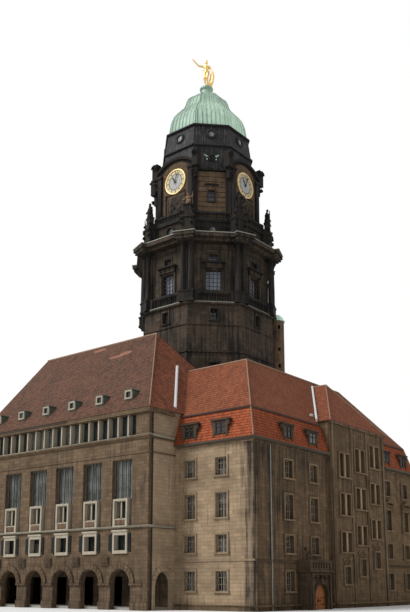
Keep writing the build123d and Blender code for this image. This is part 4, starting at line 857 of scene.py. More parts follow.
def eight(r, z):
    """The closed octagon of across-flats radius r at height z, one line to a side."""
    c = r / cos(radians(22.5))
    ends = [(c * cos(corner_turn(i)), c * sin(corner_turn(i)), z) for i in range(9)]
    return [[a, b] for a, b in zip(ends, ends[1:])]


def small_block(x, y, z):
    """A block of the given size about its centre."""
    mesh = block()
    mesh.transform(Matrix.Diagonal((x, y, z, 1)))
    return mesh


crowns, lead_spots = [], []
for k in range(8):
    a = corner_turn(k)
    for out_by, z, deep, wide, high in ((1.275, 5.985, 0.15, 0.36, 0.06), (1.25, 5.93, 0.16, 0.30, 0.05),
                                        (1.21, 5.892, 0.16, 0.27, 0.03)):
        crowns.append(((out_by * cos(a), out_by * sin(a), z), (0, 0, a), (deep, wide, high)))
    lead_spots.append(((1.285 * cos(a), 1.285 * sin(a), 6.020), (0, 0, a), (0.15, 0.37, 0.014)))
tooth = small_block(0.024, 0.03, 0.03)
added("cornice_crowns_and_blocks",
      merged([blocks_at(crowns, tower_stone), row(tooth, eight(1.19, 5.935), 0.052, tower_stone)]),
      tower_stone)
added("cornice_lead",
      merged([blocks_at(lead_spots, lead), strip(eight(1.232, 6.018), 0.03, 0.012, lead),
              strip(eight(1.125, 4.852), 0.02, 0.01, lead)]), lead)

# Mouldings of the shaft and the clock stage: flat stone bands, window heads on brackets, dark pilasters
# beside the clocks, and scrolls at the ends of each curved hood. All are dressed blocks built into the wall.
def on_side(k, table):
    """Blocks on side k of the tower. A row of the table is places along, distance out, height, size."""
    return [(round_tower(k, u, out_by, z), side_turn(k), size) for along, out_by, z, size in table
            for u in along]


MIDDLE = (0,)
TURRET_SIDE = 3
shaft_brown = [(MIDDLE, 1.098, 4.80, (0.19, 0.02, 0.014)), (MIDDLE, 1.102, 4.548, (0.2, 0.03, 0.018)),
               (MIDDLE, 1.098, 3.846, (0.19, 0.02, 0.03))]
stage_brown = [((-0.155, 0.155), 1.040, 5.235, (0.035, 0.03, 0.43)),
               (MIDDLE, 1.045, 5.005, (0.36, 0.04, 0.024)), ((-0.31, 0.31), 1.036, 5.44, (0.02, 0.016, 0.74)),
               (MIDDLE, 1.036, 5.08, (0.62, 0.016, 0.016)), (MIDDLE, 1.036, 5.81, (0.62, 0.016, 0.016))]
stage_dark = [((-0.155, 0.155), 1.05, 5.49, (0.036, 0.05, 0.07)), (MIDDLE, 1.07, 5.556, (0.40, 0.09, 0.02)),
              (MIDDLE, 1.052, 5.585, (0.30, 0.05, 0.018))]
clock_brown = [((-0.2139, 0.2139), 0.868, 6.74, (0.022, 0.022, 0.5)),
               (MIDDLE, 0.868, 6.50, (0.44, 0.022, 0.022)), (MIDDLE, 0.868, 6.985, (0.44, 0.022, 0.022))]
clock_dark = [((-0.345, 0.345), 0.872, 6.88, (0.085, 0.05, 0.94)),
              ((-0.345, 0.345), 0.878, 7.37, (0.11, 0.07, 0.05)),
              ((-0.345, 0.345), 0.878, 6.43, (0.11, 0.07, 0.07)), (MIDDLE, 0.99, 6.368, (0.74, 0.06, 0.035)),
              ((-0.31, 0.31), 0.99, 6.18, (0.07, 0.03, 0.32))]
diagonal_brown = [(MIDDLE, 0.80, 6.77, (0.17, 0.03, 0.02)),
                  ((-0.07, 0.07), 0.797, 6.895, (0.022, 0.02, 0.25))]
diagonal_dark = [(MIDDLE, 0.815, 7.355, (0.64, 0.07, 0.04)), (MIDDLE, 0.805, 7.085, (0.24, 0.05, 0.022)),
                 ((-0.275, 0.275), 0.80, 6.87, (0.06, 0.05, 0.94)), (MIDDLE, 0.80, 6.365, (0.66, 0.06, 0.03))]
diagonal_dark += [(MIDDLE, 0.7905, 6.50 + 0.092 * i, (0.48, 0.006, 0.008)) for i in range(9)]
dark_bits, brown_bits = [], []
for k in range(8):
    brown_bits += on_side(k, stage_brown + (clock_brown if k % 2 == 0 else diagonal_brown))
    dark_bits += on_side(k, stage_dark + (clock_dark if k % 2 == 0 else diagonal_dark))
    if k != TURRET_SIDE:
        brown_bits += on_side(k, shaft_brown)


def scroll(turns, size, deep):
    """A flat scroll that coils inwards, standing in X and Z, with a rounded edge."""
    steps = int(turns * 18)
    spine = []
    for i in range(steps + 1):
        a = 2 * pi * turns * i / steps
        r = size * (1 - 0.78 * i / steps)
        spine.append((r * cos(a), r * sin(a), size * 0.2 * (1 - 0.6 * i / steps)))
    corners, faces = [], []
    for x, z, thick in spine:
        n = sqrt(x * x + z * z)
        for away, y in ((thick, 0.1), (thick, -0.4), (thick * 0.4, -0.5), (-thick * 0.4, -0.5),
                        (-thick, -0.4), (-thick, 0.1)):
            corners.append((x + x / n * away, y * deep, z + z / n * away))
    for i in range(steps):
        for j in range(6):
            a, b = i * 6 + j, i * 6 + (j + 1) % 6
            faces.append((a, b, b + 6, a + 6))
    faces += [tuple(range(6)), tuple(range(steps * 6, steps * 6 + 6))]
    return mesh_of(corners, faces, True)


scrolls = []
for k in clock_sides:
    turn = radians(45 * k)
    for side in (-1, 1):
        for u, z, size in ((0.458, 7.585, 1.0), (0.43, 7.25, 0.62)):
            scrolls.append((round_tower(k, side * u, 0.905, z), (0, 0, turn), (side * size, 1, size)))
scroll_mesh = merged([copied(scroll(1.6, 0.062, 0.05), scrolls, black_stone)])
added("tower_dark_mouldings", merged([blocks_at(dark_bits, black_stone), scroll_mesh]), black_stone)
added("tower_brown_mouldings", merged([blocks_at(brown_bits, tower_stone)]), tower_stone)

# Roof edges: mortared hips and ridges stand out as pale lines, dark gutters run along the eaves, and white
# sheet flashings cover the joints between the roofs. All are long narrow strips, bedded on the tiles.
hip_tile = paint("mortared_hip_tile", (0.30, 0.19, 0.13), 0.85, vary=0.5)
gutter_paint = paint("dark_gutter", (0.070, 0.055, 0.040), 0.6, vary=0.5)
white_sheet = paint("pale_sheet_flashing", (0.70, 0.72, 0.72), 0.45, vary=0.15)
rib = [[(1.480, -3.061, 2.651), (0.343, -1.69, 4.182)], [(-2.22, -1.69, 4.182), (0.343, -1.69, 4.182)],
       [(2.645, -2.415, 2.586), (1.935, -1.505, 3.522), (1.935, 1.155, 3.522), (2.645, 2.065, 2.586)],
       [(2.768, -2.538, 2.172), (2.645, -2.415, 2.586)], [(2.764, 2.174, 2.190), (2.645, 2.065, 2.586)],
       [(1.935, 1.155, 3.522), (1.225, 2.065, 2.586)], [(0.86, -1.505, 3.522), (1.935, -1.505, 3.522)],
       [(2.825, -0.695, 2.656), (2.265, 0.175, 3.412), (2.825, 1.045, 2.656)],
       [(2.265, 0.175, 3.412), (2.03, 0.175, 3.412)]]
added("hips_and_ridges", strip(rib, 0.026, 0.016, hip_tile), hip_tile)
gutters = [[(-2.22, -3.055, 2.612), (1.47, -3.055, 2.612), (1.47, -2.56, 2.612)],
           [(1.50, -2.552, 2.150), (2.790, -2.552, 2.150), (2.790, -0.70, 2.150)],
           [(2.790, 1.05, 2.150), (2.790, 2.17, 2.150)], [(2.810, -0.69, 2.634), (2.810, 1.04, 2.634)]]
breaks = [[(1.50, -2.424, 2.578), (2.654, -2.424, 2.578), (2.654, -0.72, 2.578)],
          [(2.654, 1.07, 2.578), (2.654, 2.06, 2.578)]]
added("gutters", strip(gutters, 0.034, 0.024, gutter_paint), gutter_paint)
# Painted shadow: the lip at the mansard break is a real edge, painted dark as the shadow under the upper
# roof.
break_shadow_paint = paint("break_edge_painted_shadow", (0.080, 0.045, 0.035), 0.8, vary=0.5)
added("mansard_break_edge", strip(breaks, 0.030, 0.016, break_shadow_paint), break_shadow_paint)
hatch = [((2.535, -0.735, 2.745), (0, radians(-53), 0), (0.04, 0.07, 0.014))]
added("white_flashings",
      merged([strip([[(0.80, -1.72, 3.565), (1.44, -2.50, 2.705)]], 0.03, 0.04, white_sheet),
              strip([[(2.024, 0.165, 3.41), (2.60, -0.70, 2.665)]], 0.055, 0.03, white_sheet),
              strip([[(1.938, 2.0, 2.68), (1.938, 1.2, 3.52)]], 0.012, 0.01, white_sheet),
              blocks_at(hatch, white_sheet)]), white_sheet)

# Dormers: small copper boxes with cream frames on the arcade roof, and brown wooden ones with splayed heads
# under flat slabs on the mansard. Each has a pane of dark glass behind plain bars, set into its recess.
dull_copper = paint("dull_copper_sheet", (0.085, 0.125, 0.105), 0.6, metal=0.2, vary=0.6)
dress(["arcade_dormers"], dull_copper)
old_wood = paint("dark_weathered_wood", (0.075, 0.053, 0.038), 0.8, vary=0.6, grime=(0.02, 0.017, 0.014))
dress(["wing_dormers"], old_wood)


def on_corner(u, out_by, z, size, side):
    """A spot on the corner block's front wall, or on its side wall, that stands out_by in front of it."""
    return (on_wall(u, CORNER_X + out_by if side else CORNER_Y - out_by, z, side),
            (0, 0, pi / 2 if side else 0), size)


pale_frames, dark_frames, dark_glass, pale_glass = [], [], [], []
for x in bay_x:
    for shift in (-0.055, 0.055):
        pale_frames.append(((x + shift, -2.932, 2.878), NO_TURN, (0.022, 0.022, 0.118)))
    pale_frames += [((x, -2.934, 2.828), NO_TURN, (0.136, 0.026, 0.020)),
                    ((x, -2.932, 2.931), NO_TURN, (0.132, 0.02, 0.020))]
    dark_glass.append(((x, -2.915, 2.878), NO_TURN, (0.088, 0.004, 0.088)))
dormer_spots = [(x, False) for x in front_cols]
dormer_spots += [(y, True) for y in side_cols]
for u, side in dormer_spots:
    pale_glass.append(on_corner(u, 0.0115, 2.325, (0.172, 0.003, 0.148), side))
    for shift, wide in ((-0.081, 0.016), (0.081, 0.016), (0, 0.014)):
        dark_frames.append(on_corner(u + shift, 0.019, 2.325, (wide, 0.014, 0.152), side))
    for z in (2.254, 2.345, 2.396):
        dark_frames.append(on_corner(u, 0.019, z, (0.17, 0.014, 0.010), side))
    for shift in (-0.105, 0.105):
        dark_frames.append(on_corner(u + shift, 0.018, 2.318, (0.032, 0.018, 0.21), side))
        dark_frames.append(on_corner(u + shift * 1.22, 0.006, 2.392, (0.032, 0.040, 0.062), side))
    dark_frames.append(on_corner(u, 0.016, 2.437, (0.318, 0.034, 0.012), side))
added("arcade_dormer_frames", blocks_at(pale_frames, cream), cream)
added("mansard_dormer_frames", blocks_at(dark_frames, old_wood), old_wood)
added("arcade_dormer_panes", blocks_at(dark_glass, arcade_pane), arcade_pane)
added("mansard_dormer_panes", blocks_at(pale_glass, glass), glass)

# Clocks: a smooth gilded rim, a pale dial with a gilt band of plain hour marks and a dark inner ring. The two
# faces that look to the back carry fixed hands. Rims, bands and marks are turned or cut and fixed flat on the
# dials.
def hoop(section, sides, smooth=True):
    """A ring turned from a closed outline of pairs of radius and height."""
    n = len(section)
    corners = [(r * cos(2 * pi * i / sides), r * sin(2 * pi * i / sides), z) for i in range(sides)
               for r, z in section]
    faces = [(i * n + j, (i + 1) % sides * n + j, (i + 1) % sides * n + (j + 1) % n, i * n + (j + 1) % n)
             for i in range(sides) for j in range(n)]
    return mesh_of(corners, faces, smooth)


def on_tower(k, u, out_by, z, size=(1, 1, 1), lean=pi / 2):
    """A spot on side k of the tower for a turned form whose axis looks out of the wall."""
    return (round_tower(k, u, out_by, z), (lean, 0, radians(45 * k)), size)


faces_out = [on_tower(k, 0, 0.86, CLOCK_Z) for k in clock_sides]
rim = [(0.236, 0), (0.236, 0.014), (0.229, 0.022), (0.21, 0.022), (0.203, 0.014), (0.203, 0)]
rim_gilt = paint("aged_gilt", (0.62, 0.46, 0.21), 0.38, metal=0.7, vary=0.4, grime=(0.3, 0.22, 0.12))
added("clock_gilt_rims", copied(hoop(rim, 64), faces_out, rim_gilt), rim_gilt, instead_of=["clock_rings"])
added("clock_pale_dials", copied(lathed([(0.205, 0), (0.205, 0.0092)], 64, False), faces_out, dial), dial,
      instead_of=["clock_dials"])
pale_gilt = paint("worn_gilt", (0.52, 0.44, 0.28), 0.5, metal=0.15, vary=0.5, grime=(0.25, 0.2, 0.12))
added("clock_gilt_bands",
      copied(hoop([(0.203, 0.009), (0.203, 0.0100), (0.149, 0.0100), (0.149, 0.009)], 48, False), faces_out,
             pale_gilt), pale_gilt)
MARK_R = 0.176
marks, fixed_hands = [], []
for k in clock_sides:
    for hour in range(12):
        a = 2 * pi * hour / 12
        high = 0.046 if hour % 3 == 0 else 0.034
        marks.append((round_tower(k, MARK_R * sin(a), 0.8700, CLOCK_Z + MARK_R * cos(a)),
                      (0, a, radians(45 * k)), (0.013, 0.0016, high)))
for k in (4, 6):
    for a, long, wide, out_by in ((radians(325), 0.13, 0.02, 0.878), (radians(20), 0.19, 0.014, 0.886)):
        fixed_hands.append((round_tower(k, 0.42 * long * sin(a), out_by, CLOCK_Z + 0.42 * long * cos(a)),
                            (0, a, radians(45 * k)), (wide, 0.004, long * 1.16)))
dark_ring = hoop([(0.149, 0.009), (0.149, 0.0106), (0.138, 0.0106), (0.138, 0.009)], 48, False)
pin = lathed([(0.006, 0.009), (0.006, 0.036)], 12, False)
added("clock_marks",
      merged([blocks_at(marks + fixed_hands, iron), copied(dark_ring, faces_out, iron),
              copied(pin, faces_out, iron)]), iron)

# Dome seams: the copper is laid in upright strips with standing seams that run up each face and die into the
# hips, with a rolled hip on every corner and a thin edge over the drum.
DOME_R, DRUM_TOP, DOME_H = 0.70, 8.26, 1.02
SEAM_STEP = 0.082
dome_profile = [(1, 0), (0.99, 0.1), (0.955, 0.245), (0.893, 0.373), (0.8, 0.47), (0.7, 0.55), (0.61, 0.627),
                (0.566, 0.696), (0.536, 0.775), (0.486, 0.843), (0.4, 0.902), (0.293, 0.951), (0.171, 0.985)]
seams, hips = [], []
for k in range(8):
    for i in range(-3, 4):
        u = SEAM_STEP * i
        line = [round_tower(k, u, DOME_R * r + 0.002, DRUM_TOP + DOME_H * z) for r, z in dome_profile
                if abs(u) < DOME_R * r * tan(radians(22.5)) - 0.004]
        if len(line) > 1:
            seams.append(line)
    a = corner_turn(k)
    hips.append([(DOME_R * r / cos(radians(22.5)) * cos(a), DOME_R * r / cos(radians(22.5)) * sin(a),
                  DRUM_TOP + DOME_H * z) for r, z in dome_profile])
added("dome_seams",
      merged([strip(seams, 0.007, 0.012, verdigris), strip(hips, 0.014, 0.014, verdigris),
              strip(eight(DOME_R, 8.268), 0.022, 0.016, verdigris)]), verdigris)

# Drum: dark rims between its bands, round lights in heavy frames in the upper band, and a shield with copper
# wings on each diagonal side of the lower band.
black_lead = paint("black_lead", (0.018, 0.018, 0.019), 0.6, vary=0.3, grime=(0.10, 0.10, 0.09))
frame = [(0.098, -0.03), (0.098, 0.012), (0.084, 0.030), (0.058, 0.026), (0.046, 0.012), (0.046, -0.03)]
upper_lights = [on_tower(k, 0, 0.750, 8.07) for k in range(8)]
badges = [on_tower(k, 0, 0.788, 7.60) for k in diagonal_sides]
added("drum_rims_and_frames",
      merged([strip(eight(0.742, 8.252), 0.026, 0.030, black_lead),
              strip(eight(0.790, 7.842), 0.034, 0.026, black_lead),
              copied(hoop(frame, 20), upper_lights, black_lead),
              copied(hoop([(0.062, -0.02), (0.062, 0.02), (0.045, 0.03), (0.038, 0.02), (0.038, -0.02)], 16),
                     badges, black_lead),
              copied(lathed([(0.04, -0.02), (0.03, 0.016), (0.01, 0.024)], 12), badges, black_lead)]),
      black_lead)
wings = []
for k in diagonal_sides:
    for side in (-1, 1):
        for u, z, wide, high in ((0.085, 7.625, 0.05, 0.026), (0.115, 7.645, 0.04, 0.020),
                                 (0.078, 7.57, 0.026, 0.034)):
            wings.append(on_tower(k, side * u, 0.788, z, (wide, high, 0.03)))
added("drum_copper_wings",
      copied(lathed([(0.5, -0.5), (0.5, 0.2), (0.3, 0.45), (0.05, 0.5)], 10), wings, verdigris), verdigris)

# Oculus stage: rusticated walls close the diagonal sides flush with the gallery above, and every side has a
# round light in a moulded stone ring.
walls = []
for k in diagonal_sides:
    walls += [(round_tower(k, 0, 0.884, 6.19), side_turn(k), (0.70, 0.045, 0.34)),
              (round_tower(k, 0, 0.890, 6.368), side_turn(k), (0.72, 0.07, 0.03)),
              (round_tower(k, 0, 0.900, 6.045), side_turn(k), (0.74, 0.07, 0.05))]
    for side in (-1, 1):
        for z in (6.11, 6.19, 6.27):
            walls.append((round_tower(k, side * 0.235, 0.909, z), side_turn(k), (0.20, 0.010, 0.066)))
ring_out = [(0.098, -0.02), (0.098, 0.014), (0.084, 0.026), (0.066, 0.018), (0.060, -0.02)]
eyes = [on_tower(k, 0, 0.985, 6.225) for k in clock_sides] + [on_tower(k, 0, 0.906, 6.21, (0.8, 0.8, 0.8))
                                                              for k in diagonal_sides]
added("gallery_walls_and_rings",
      merged([blocks_at(walls, black_stone), copied(hoop(ring_out, 24), eyes, black_stone)]), black_stone)
discs = [on_tower(k, 0, 0.975, 6.225, (0.062, 0.062, 0.004)) for k in clock_sides]
discs += [on_tower(k, 0, 0.908, 6.21, (0.049, 0.049, 0.004)) for k in diagonal_sides]
high_discs = [on_tower(k, 0, 0.752, 8.07, (0.047, 0.047, 0.004)) for k in range(8)]
added("gallery_round_panes", copied(lathed([(1, -1), (1, 1)], 20, False), discs, arcade_pane), arcade_pane)
milky_pane = panes_of("milky_pane", (0.14, 0.14, 0.125), (0.34, 0.34, 0.31), 0.8)
added("drum_round_panes", copied(lathed([(1, -1), (1, 1)], 20, False), high_discs, milky_pane), milky_pane)

# Tower window bars: thin dark bars divide the tall stage windows into many panes, the others into four or
# six.
tower_bars = []
for k in range(8):
    for out_by, z0, z1, width, across, levels in ((0.998, 5.02, 5.44, 0.26, 4, 6),
                                                  (0.998, 5.60, 5.712, 0.15, 3, 2),
                                                  (1.052, 4.56, 4.75, 0.12, 2, 3),
                                                  (1.052, 3.70, 3.83, 0.12, 2, 2),
                                                  (0.764, 6.79, 7.0, 0.11, 2, 3)):
        if (out_by < 0.8 and k % 2 == 0) or (k == TURRET_SIDE and out_by > 1.0):
            continue
        turn = side_turn(k)
        for i in range(1, across):
            tower_bars.append((round_tower(k, width * (i / across - 0.5), out_by, (z0 + z1) / 2), turn,
                               (0.009, 0.012, z1 - z0)))
        for i in range(1, levels):
            tower_bars.append((round_tower(k, 0, out_by, z0 + (z1 - z0) * i / levels), turn,
                               (width, 0.010, 0.007)))
added("tower_glazing_bars", blocks_at(tower_bars, brown_paint), brown_paint)

# Carved panels under the clocks: a shallow relief of rounded leaf forms between the pilasters.
sprays = [(0.0, 0.1, 0.14, 0.2, 1.3), (-0.22, 0.22, 0.12, 0.14, 1), (0.22, 0.22, 0.12, 0.14, 1),
          (-0.2, -0.12, 0.15, 0.14, 0.9), (0.2, -0.12, 0.15, 0.14, 0.9), (0.0, -0.3, 0.1, 0.12, 1),
          (-0.36, 0.02, 0.08, 0.16, 0.8), (0.36, 0.02, 0.08, 0.16, 0.8)]
spray = facing_out(relief(0.36, 0.38, 0.03, sprays, 24, 24))
added("clock_stage_carving",
      copied(spray, [(round_tower(k, 0, 0.868, 6.73), side_turn(k), (1, 1, 1)) for k in clock_sides],
             tower_stone), tower_stone)

# Gilded figure on the dome: a plain standing figure with one arm stretched out and up, the other at its side
# on a long cloth that falls to a rock. Rounded limbs are melted into one skin, cast hollow and gilded.
def limb_of(a, b, ra, rb, sides=10):
    """A round limb between two places, thicker at one end, with rounded tips."""
    a, b = Vector(a), Vector(b)
    long = (b - a).length
    profile = [(0.02 * ra, -ra), (0.72 * ra, -0.7 * ra), (ra, 0), (rb, long), (0.72 * rb, long + 0.7 * rb),
               (0.02 * rb, long + rb)]
    mesh = lathed(profile, sides)
    mesh.transform(Matrix.Translation(a) @ (b - a).to_track_quat("Z", "Y").to_matrix().to_4x4())
    return mesh


def melted(limbs, grain):
    """Overlapping limbs as one smooth skin, with faces about as large as the grain."""
    holder = bpy.data.objects.new("holder", merged([limb_of(*one) for one in limbs]))
    bpy.context.scene.collection.objects.link(holder)
    work = holder.modifiers.new("work", "REMESH")
    work.mode, work.voxel_size, work.use_smooth_shade = "VOXEL", grain, True
    bpy.context.view_layer.update()
    plain = bpy.data.meshes.new_from_object(holder.evaluated_get(bpy.context.evaluated_depsgraph_get()))
    bpy.data.objects.remove(holder)
    return plain


gilded = [((0, 0, 9.79), (0, 0, 9.83), 0.044, 0.040), ((0, -0.004, 9.83), (0, -0.004, 9.885), 0.040, 0.050),
          ((-0.045, 0, 9.90), (0.045, 0, 9.90), 0.026, 0.026), ((0, 0, 9.92), (0, 0, 9.96), 0.019, 0.017),
          ((0, -0.003, 9.978), (0, -0.003, 9.998), 0.027, 0.028),
          ((0.004, 0.006, 10.01), (0.006, 0.008, 10.05), 0.024, 0.010),
          ((-0.058, 0, 9.905), (-0.145, -0.01, 9.915), 0.022, 0.016),
          ((-0.145, -0.01, 9.915), (-0.245, -0.02, 10.03), 0.016, 0.012),
          ((-0.245, -0.02, 10.03), (-0.262, -0.02, 10.052), 0.014, 0.008),
          ((0.058, 0, 9.90), (0.085, -0.01, 9.83), 0.021, 0.017),
          ((0.085, -0.01, 9.83), (0.11, -0.04, 9.775), 0.017, 0.014),
          ((-0.02, 0, 9.78), (0.024, 0, 9.78), 0.036, 0.036),
          ((-0.026, -0.004, 9.77), (-0.036, -0.014, 9.65), 0.034, 0.024),
          ((-0.036, -0.014, 9.65), (-0.018, 0.004, 9.52), 0.023, 0.015),
          ((-0.018, 0.0, 9.515), (-0.024, -0.036, 9.508), 0.015, 0.011),
          ((0.026, 0, 9.77), (0.014, -0.024, 9.66), 0.034, 0.024),
          ((0.014, -0.024, 9.66), (0.03, 0.01, 9.53), 0.023, 0.015),
          ((0.03, 0.008, 9.52), (0.028, -0.032, 9.51), 0.015, 0.011),
          ((0.112, -0.03, 9.785), (0.128, -0.02, 9.70), 0.014, 0.024),
          ((0.128, -0.02, 9.70), (0.112, -0.005, 9.60), 0.024, 0.026),
          ((0.112, -0.005, 9.60), (0.078, 0.0, 9.50), 0.026, 0.034),
          ((0.085, 0.012, 9.76), (0.07, 0.012, 9.60), 0.012, 0.022),
          ((0.04, 0.01, 9.505), (0.07, 0.0, 9.53), 0.036, 0.036),
          ((0.0, 0.0, 9.487), (0.03, 0.0, 9.49), 0.058, 0.062),
          ((-0.05, 0.004, 9.84), (0.05, -0.006, 9.79), 0.016, 0.016)]
figure = melted(gilded, 0.0045)
figure.transform(Matrix.Rotation(radians(38), 4, "Z"))
added("gilded_sculpture", figure, gold, instead_of=["gilded_figure"])

# Corner figures: plain robed figures with broad shoulders and a staff or a raised arm, on wide carved
# pedestals with scrolls. The stone is black but for one figure, which is painted tan as a painted highlight.
robed = [((0, 0, 0.03), (0, 0, 0.11), 0.056, 0.046), ((0, 0, 0.11), (0, 0, 0.17), 0.040, 0.046),
         ((-0.043, 0, 0.190), (0.043, 0, 0.190), 0.024, 0.024), ((0, 0, 0.21), (0, 0, 0.235), 0.013, 0.013),
         ((0, -0.004, 0.258), (0, -0.004, 0.270), 0.024, 0.022),
         ((-0.055, 0, 0.188), (-0.104, -0.015, 0.140), 0.019, 0.015),
         ((-0.104, -0.015, 0.140), (-0.055, -0.05, 0.110), 0.015, 0.013),
         ((-0.045, -0.02, 0.02), (0.05, -0.03, 0.09), 0.026, 0.028)]
with_staff = robed + [((0.055, 0, 0.188), (0.104, -0.01, 0.205), 0.018, 0.014),
                      ((0.104, -0.01, 0.205), (0.106, -0.02, 0.268), 0.013, 0.011),
                      ((0.108, -0.02, 0.0), (0.108, -0.02, 0.315), 0.008, 0.008)]
with_bundle = robed + [((0.055, 0, 0.188), (0.090, -0.03, 0.135), 0.018, 0.016),
                       ((0.085, -0.035, 0.12), (0.068, -0.045, 0.20), 0.026, 0.018)]
shapes = [melted(with_staff, 0.009), melted(with_bundle, 0.009)]
blocks, standing, rolls = [], [[], []], []
for k in range(8):
    a = corner_turn(k)
    turn = (0, 0, a)
    for out_by, z, deep, wide, high in ((1.125, 6.045, 0.16, 0.27, 0.05), (1.120, 6.20, 0.125, 0.23, 0.28),
                                        (1.125, 6.355, 0.155, 0.26, 0.035), (1.120, 6.415, 0.11, 0.18, 0.09),
                                        (1.120, 6.51, 0.085, 0.13, 0.12), (1.120, 6.572, 0.11, 0.15, 0.02)):
        blocks.append(((out_by * cos(a), out_by * sin(a), z), turn, (deep, wide, high)))
    for side in (-1, 1):
        for out_by, shift, z, size in ((1.185, 0.085, 6.22, 0.7), (1.185, 0.085, 6.30, 0.5),
                                       (1.165, 0.10, 6.44, 0.55)):
            x, y = out_by * cos(a) - side * shift * sin(a), out_by * sin(a) + side * shift * cos(a)
            rolls.append(((x, y, z), (0, 0, a + pi / 2), (side * size, 1, size)))
    standing[k % 2].append(((1.12 * cos(a), 1.12 * sin(a), 6.575), (0, 0, a + pi / 2), (1.05, 1.05, 1.0)))
# Painted highlight: one figure is painted tan where the light catches it.
highlight_stone = masonry("painted_highlight_tan_stone", (0.24, 0.155, 0.092), (0.17, 0.11, 0.066), (0.08, 0.055, 0.04), 0.3,
                    0.3, 0.001, 1.1, 1.5)
highlight_spot = [(standing[0].pop(0)[0], (0, 0, radians(22.5)), (0.8, 0.8, 0.74))]
added("corner_sculptures",
      merged([copied(shapes[0], standing[0], black_stone), copied(shapes[1], standing[1], black_stone),
              copied(scroll(1.4, 0.05, 0.05), rolls, black_stone), blocks_at(blocks, black_stone)]),
      black_stone, instead_of=["corner_figures"])
added("cleaned_corner_sculpture", copied(shapes[0], highlight_spot, highlight_stone), highlight_stone)

# Stone details of the arcade: a pale band and sill that run round the corner, pale partly in their stone and
# partly as a painted highlight along their tops, plain carved shields between the arches, wedge stones round
# every arch, and flat slabs that close the narrow openings of the side wall.
# Painted highlight: the band and sill are pale stone, made paler for the light along their tops.
pale_highlit_stone = masonry("pale_band_stone_and_highlight", (0.36, 0.33, 0.26), (0.26, 0.235, 0.18), (0.12, 0.105, 0.08), 0.3,
                     0.5, 0.001, 1.0, 1.4)
lines = [[(-2.22, -3.052, 1.066), (1.466, -3.052, 1.066), (1.466, -2.52, 1.066)],
         [(-2.22, -3.058, 2.256), (1.478, -3.058, 2.256), (1.478, -2.56, 2.256)]]
added("pale_band_and_sill", strip(lines, 0.028, 0.016, pale_highlit_stone), pale_highlit_stone)

badge = [(0, 0.06, 0.30, 0.34, 1.1), (-0.33, 0.22, 0.16, 0.20, 0.9), (0.33, 0.22, 0.16, 0.20, 0.9),
         (0, -0.30, 0.2, 0.2, 0.8), (-0.3, -0.12, 0.14, 0.22, 0.7), (0.3, -0.12, 0.14, 0.22, 0.7),
         (0, 0.40, 0.26, 0.1, 0.9)]
shield = facing_out(relief(0.150, 0.135, 0.014, badge, 20, 20))
piers = [FIRST_BAY - BAY_STEP / 2 - BAY_STEP * i for i in range(6)]
added("carved_shields",
      copied(shield, [((x, -3.055, 0.632), NO_TURN, (1, 1, 1)) for x in piers[:-1]], porch_stone),
      porch_stone)

wedges, side_wedges = [], []
WEDGES = 11
for x in bay_x:
    for i in range(WEDGES):
        a = pi * (i + 0.5) / WEDGES
        wedges.append(((x + 0.222 * cos(a), -3.050, 0.34 + 0.222 * sin(a)), (0, -a, 0),
                       (0.072, 0.009, 0.053)))
for i in range(WEDGES):
    a = pi * (i + 0.5) / WEDGES
    side_wedges.append(((1.452, -2.71 + 0.212 * cos(a), 0.32 + 0.212 * sin(a)), (a, 0, 0),
                        (0.018, 0.072, 0.050)))
added("arch_wedge_stones", blocks_at(wedges, sandstone), sandstone)
infill = [((1.409, -2.71, z), NO_TURN, (0.080, w, h))
          for z, w, h in ((0.8625, 0.164, 0.259), (1.27, 0.184, 0.344), (1.7425, 0.184, 0.449))]
infill += [((1.409, y, 2.411), NO_TURN, (0.080, 0.134, 0.302)) for y in (-2.805, -2.635)]
# The side wall slabs share its paler stone and its painted bounce light.
added("side_wall_slabs", merged([blocks_at(infill, bounce_lit_stone), blocks_at(side_wedges, bounce_lit_stone)]),
      bounce_lit_stone)
low_blocks = [((x, -3.036, 0.05), NO_TURN, (0.214, 0.026, 0.10)) for x in piers[:-1]]
low_blocks += [((1.306, -3.036, 0.05), NO_TURN, (0.30, 0.026, 0.10))]
for x in bay_x:
    for shift in (-0.105, 0.105):
        low_blocks.append(((x + shift * 2.05, -3.040, 0.327), NO_TURN, (0.07, 0.036, 0.03)))
added("arcade_foot_stones", blocks_at(low_blocks, sandstone), sandstone)

# Stone details of the side range: a foot course, sills with small brackets, curved hoods over the far first-
# floor windows, and the carved front of the porch with its keystone, side shafts and the rail of the balcony.
foot = [[(1.50, -2.513, 0.06), (2.741, -2.513, 0.06), (2.741, -1.545, 0.06)],
        [(2.741, -0.975, 0.06), (2.741, -0.68, 0.06)], [(2.801, -0.66, 0.06), (2.801, 1.01, 0.06)],
        [(2.741, 1.03, 0.06), (2.741, 2.15, 0.06)]]
hoods = []
for u in side_cols[2:]:
    hoods += [on_corner(u, 0.03, 1.545, (0.30, 0.05, 0.022), True),
              on_corner(u, 0.02, 1.516, (0.26, 0.03, 0.030), True),
              on_corner(u, 0.03, 1.62, (0.07, 0.05, 0.06), True)]
    for side in (-1, 1):
        hoods.append((on_wall(u + side * 0.075, CORNER_X + 0.03, 1.605, True),
                      (0, side * radians(26), pi / 2), (0.17, 0.045, 0.020)))
        hoods.append(on_corner(u + side * 0.125, 0.02, 1.485, (0.03, 0.035, 0.07), True))
added("side_range_foot_and_hoods",
      merged([strip(foot, 0.02, 0.11, side_stone), blocks_at(hoods, side_stone)]), side_stone)
porch_bits = []
face, door_y = CORNER_X + 0.19, CORNER_Y + 1.25
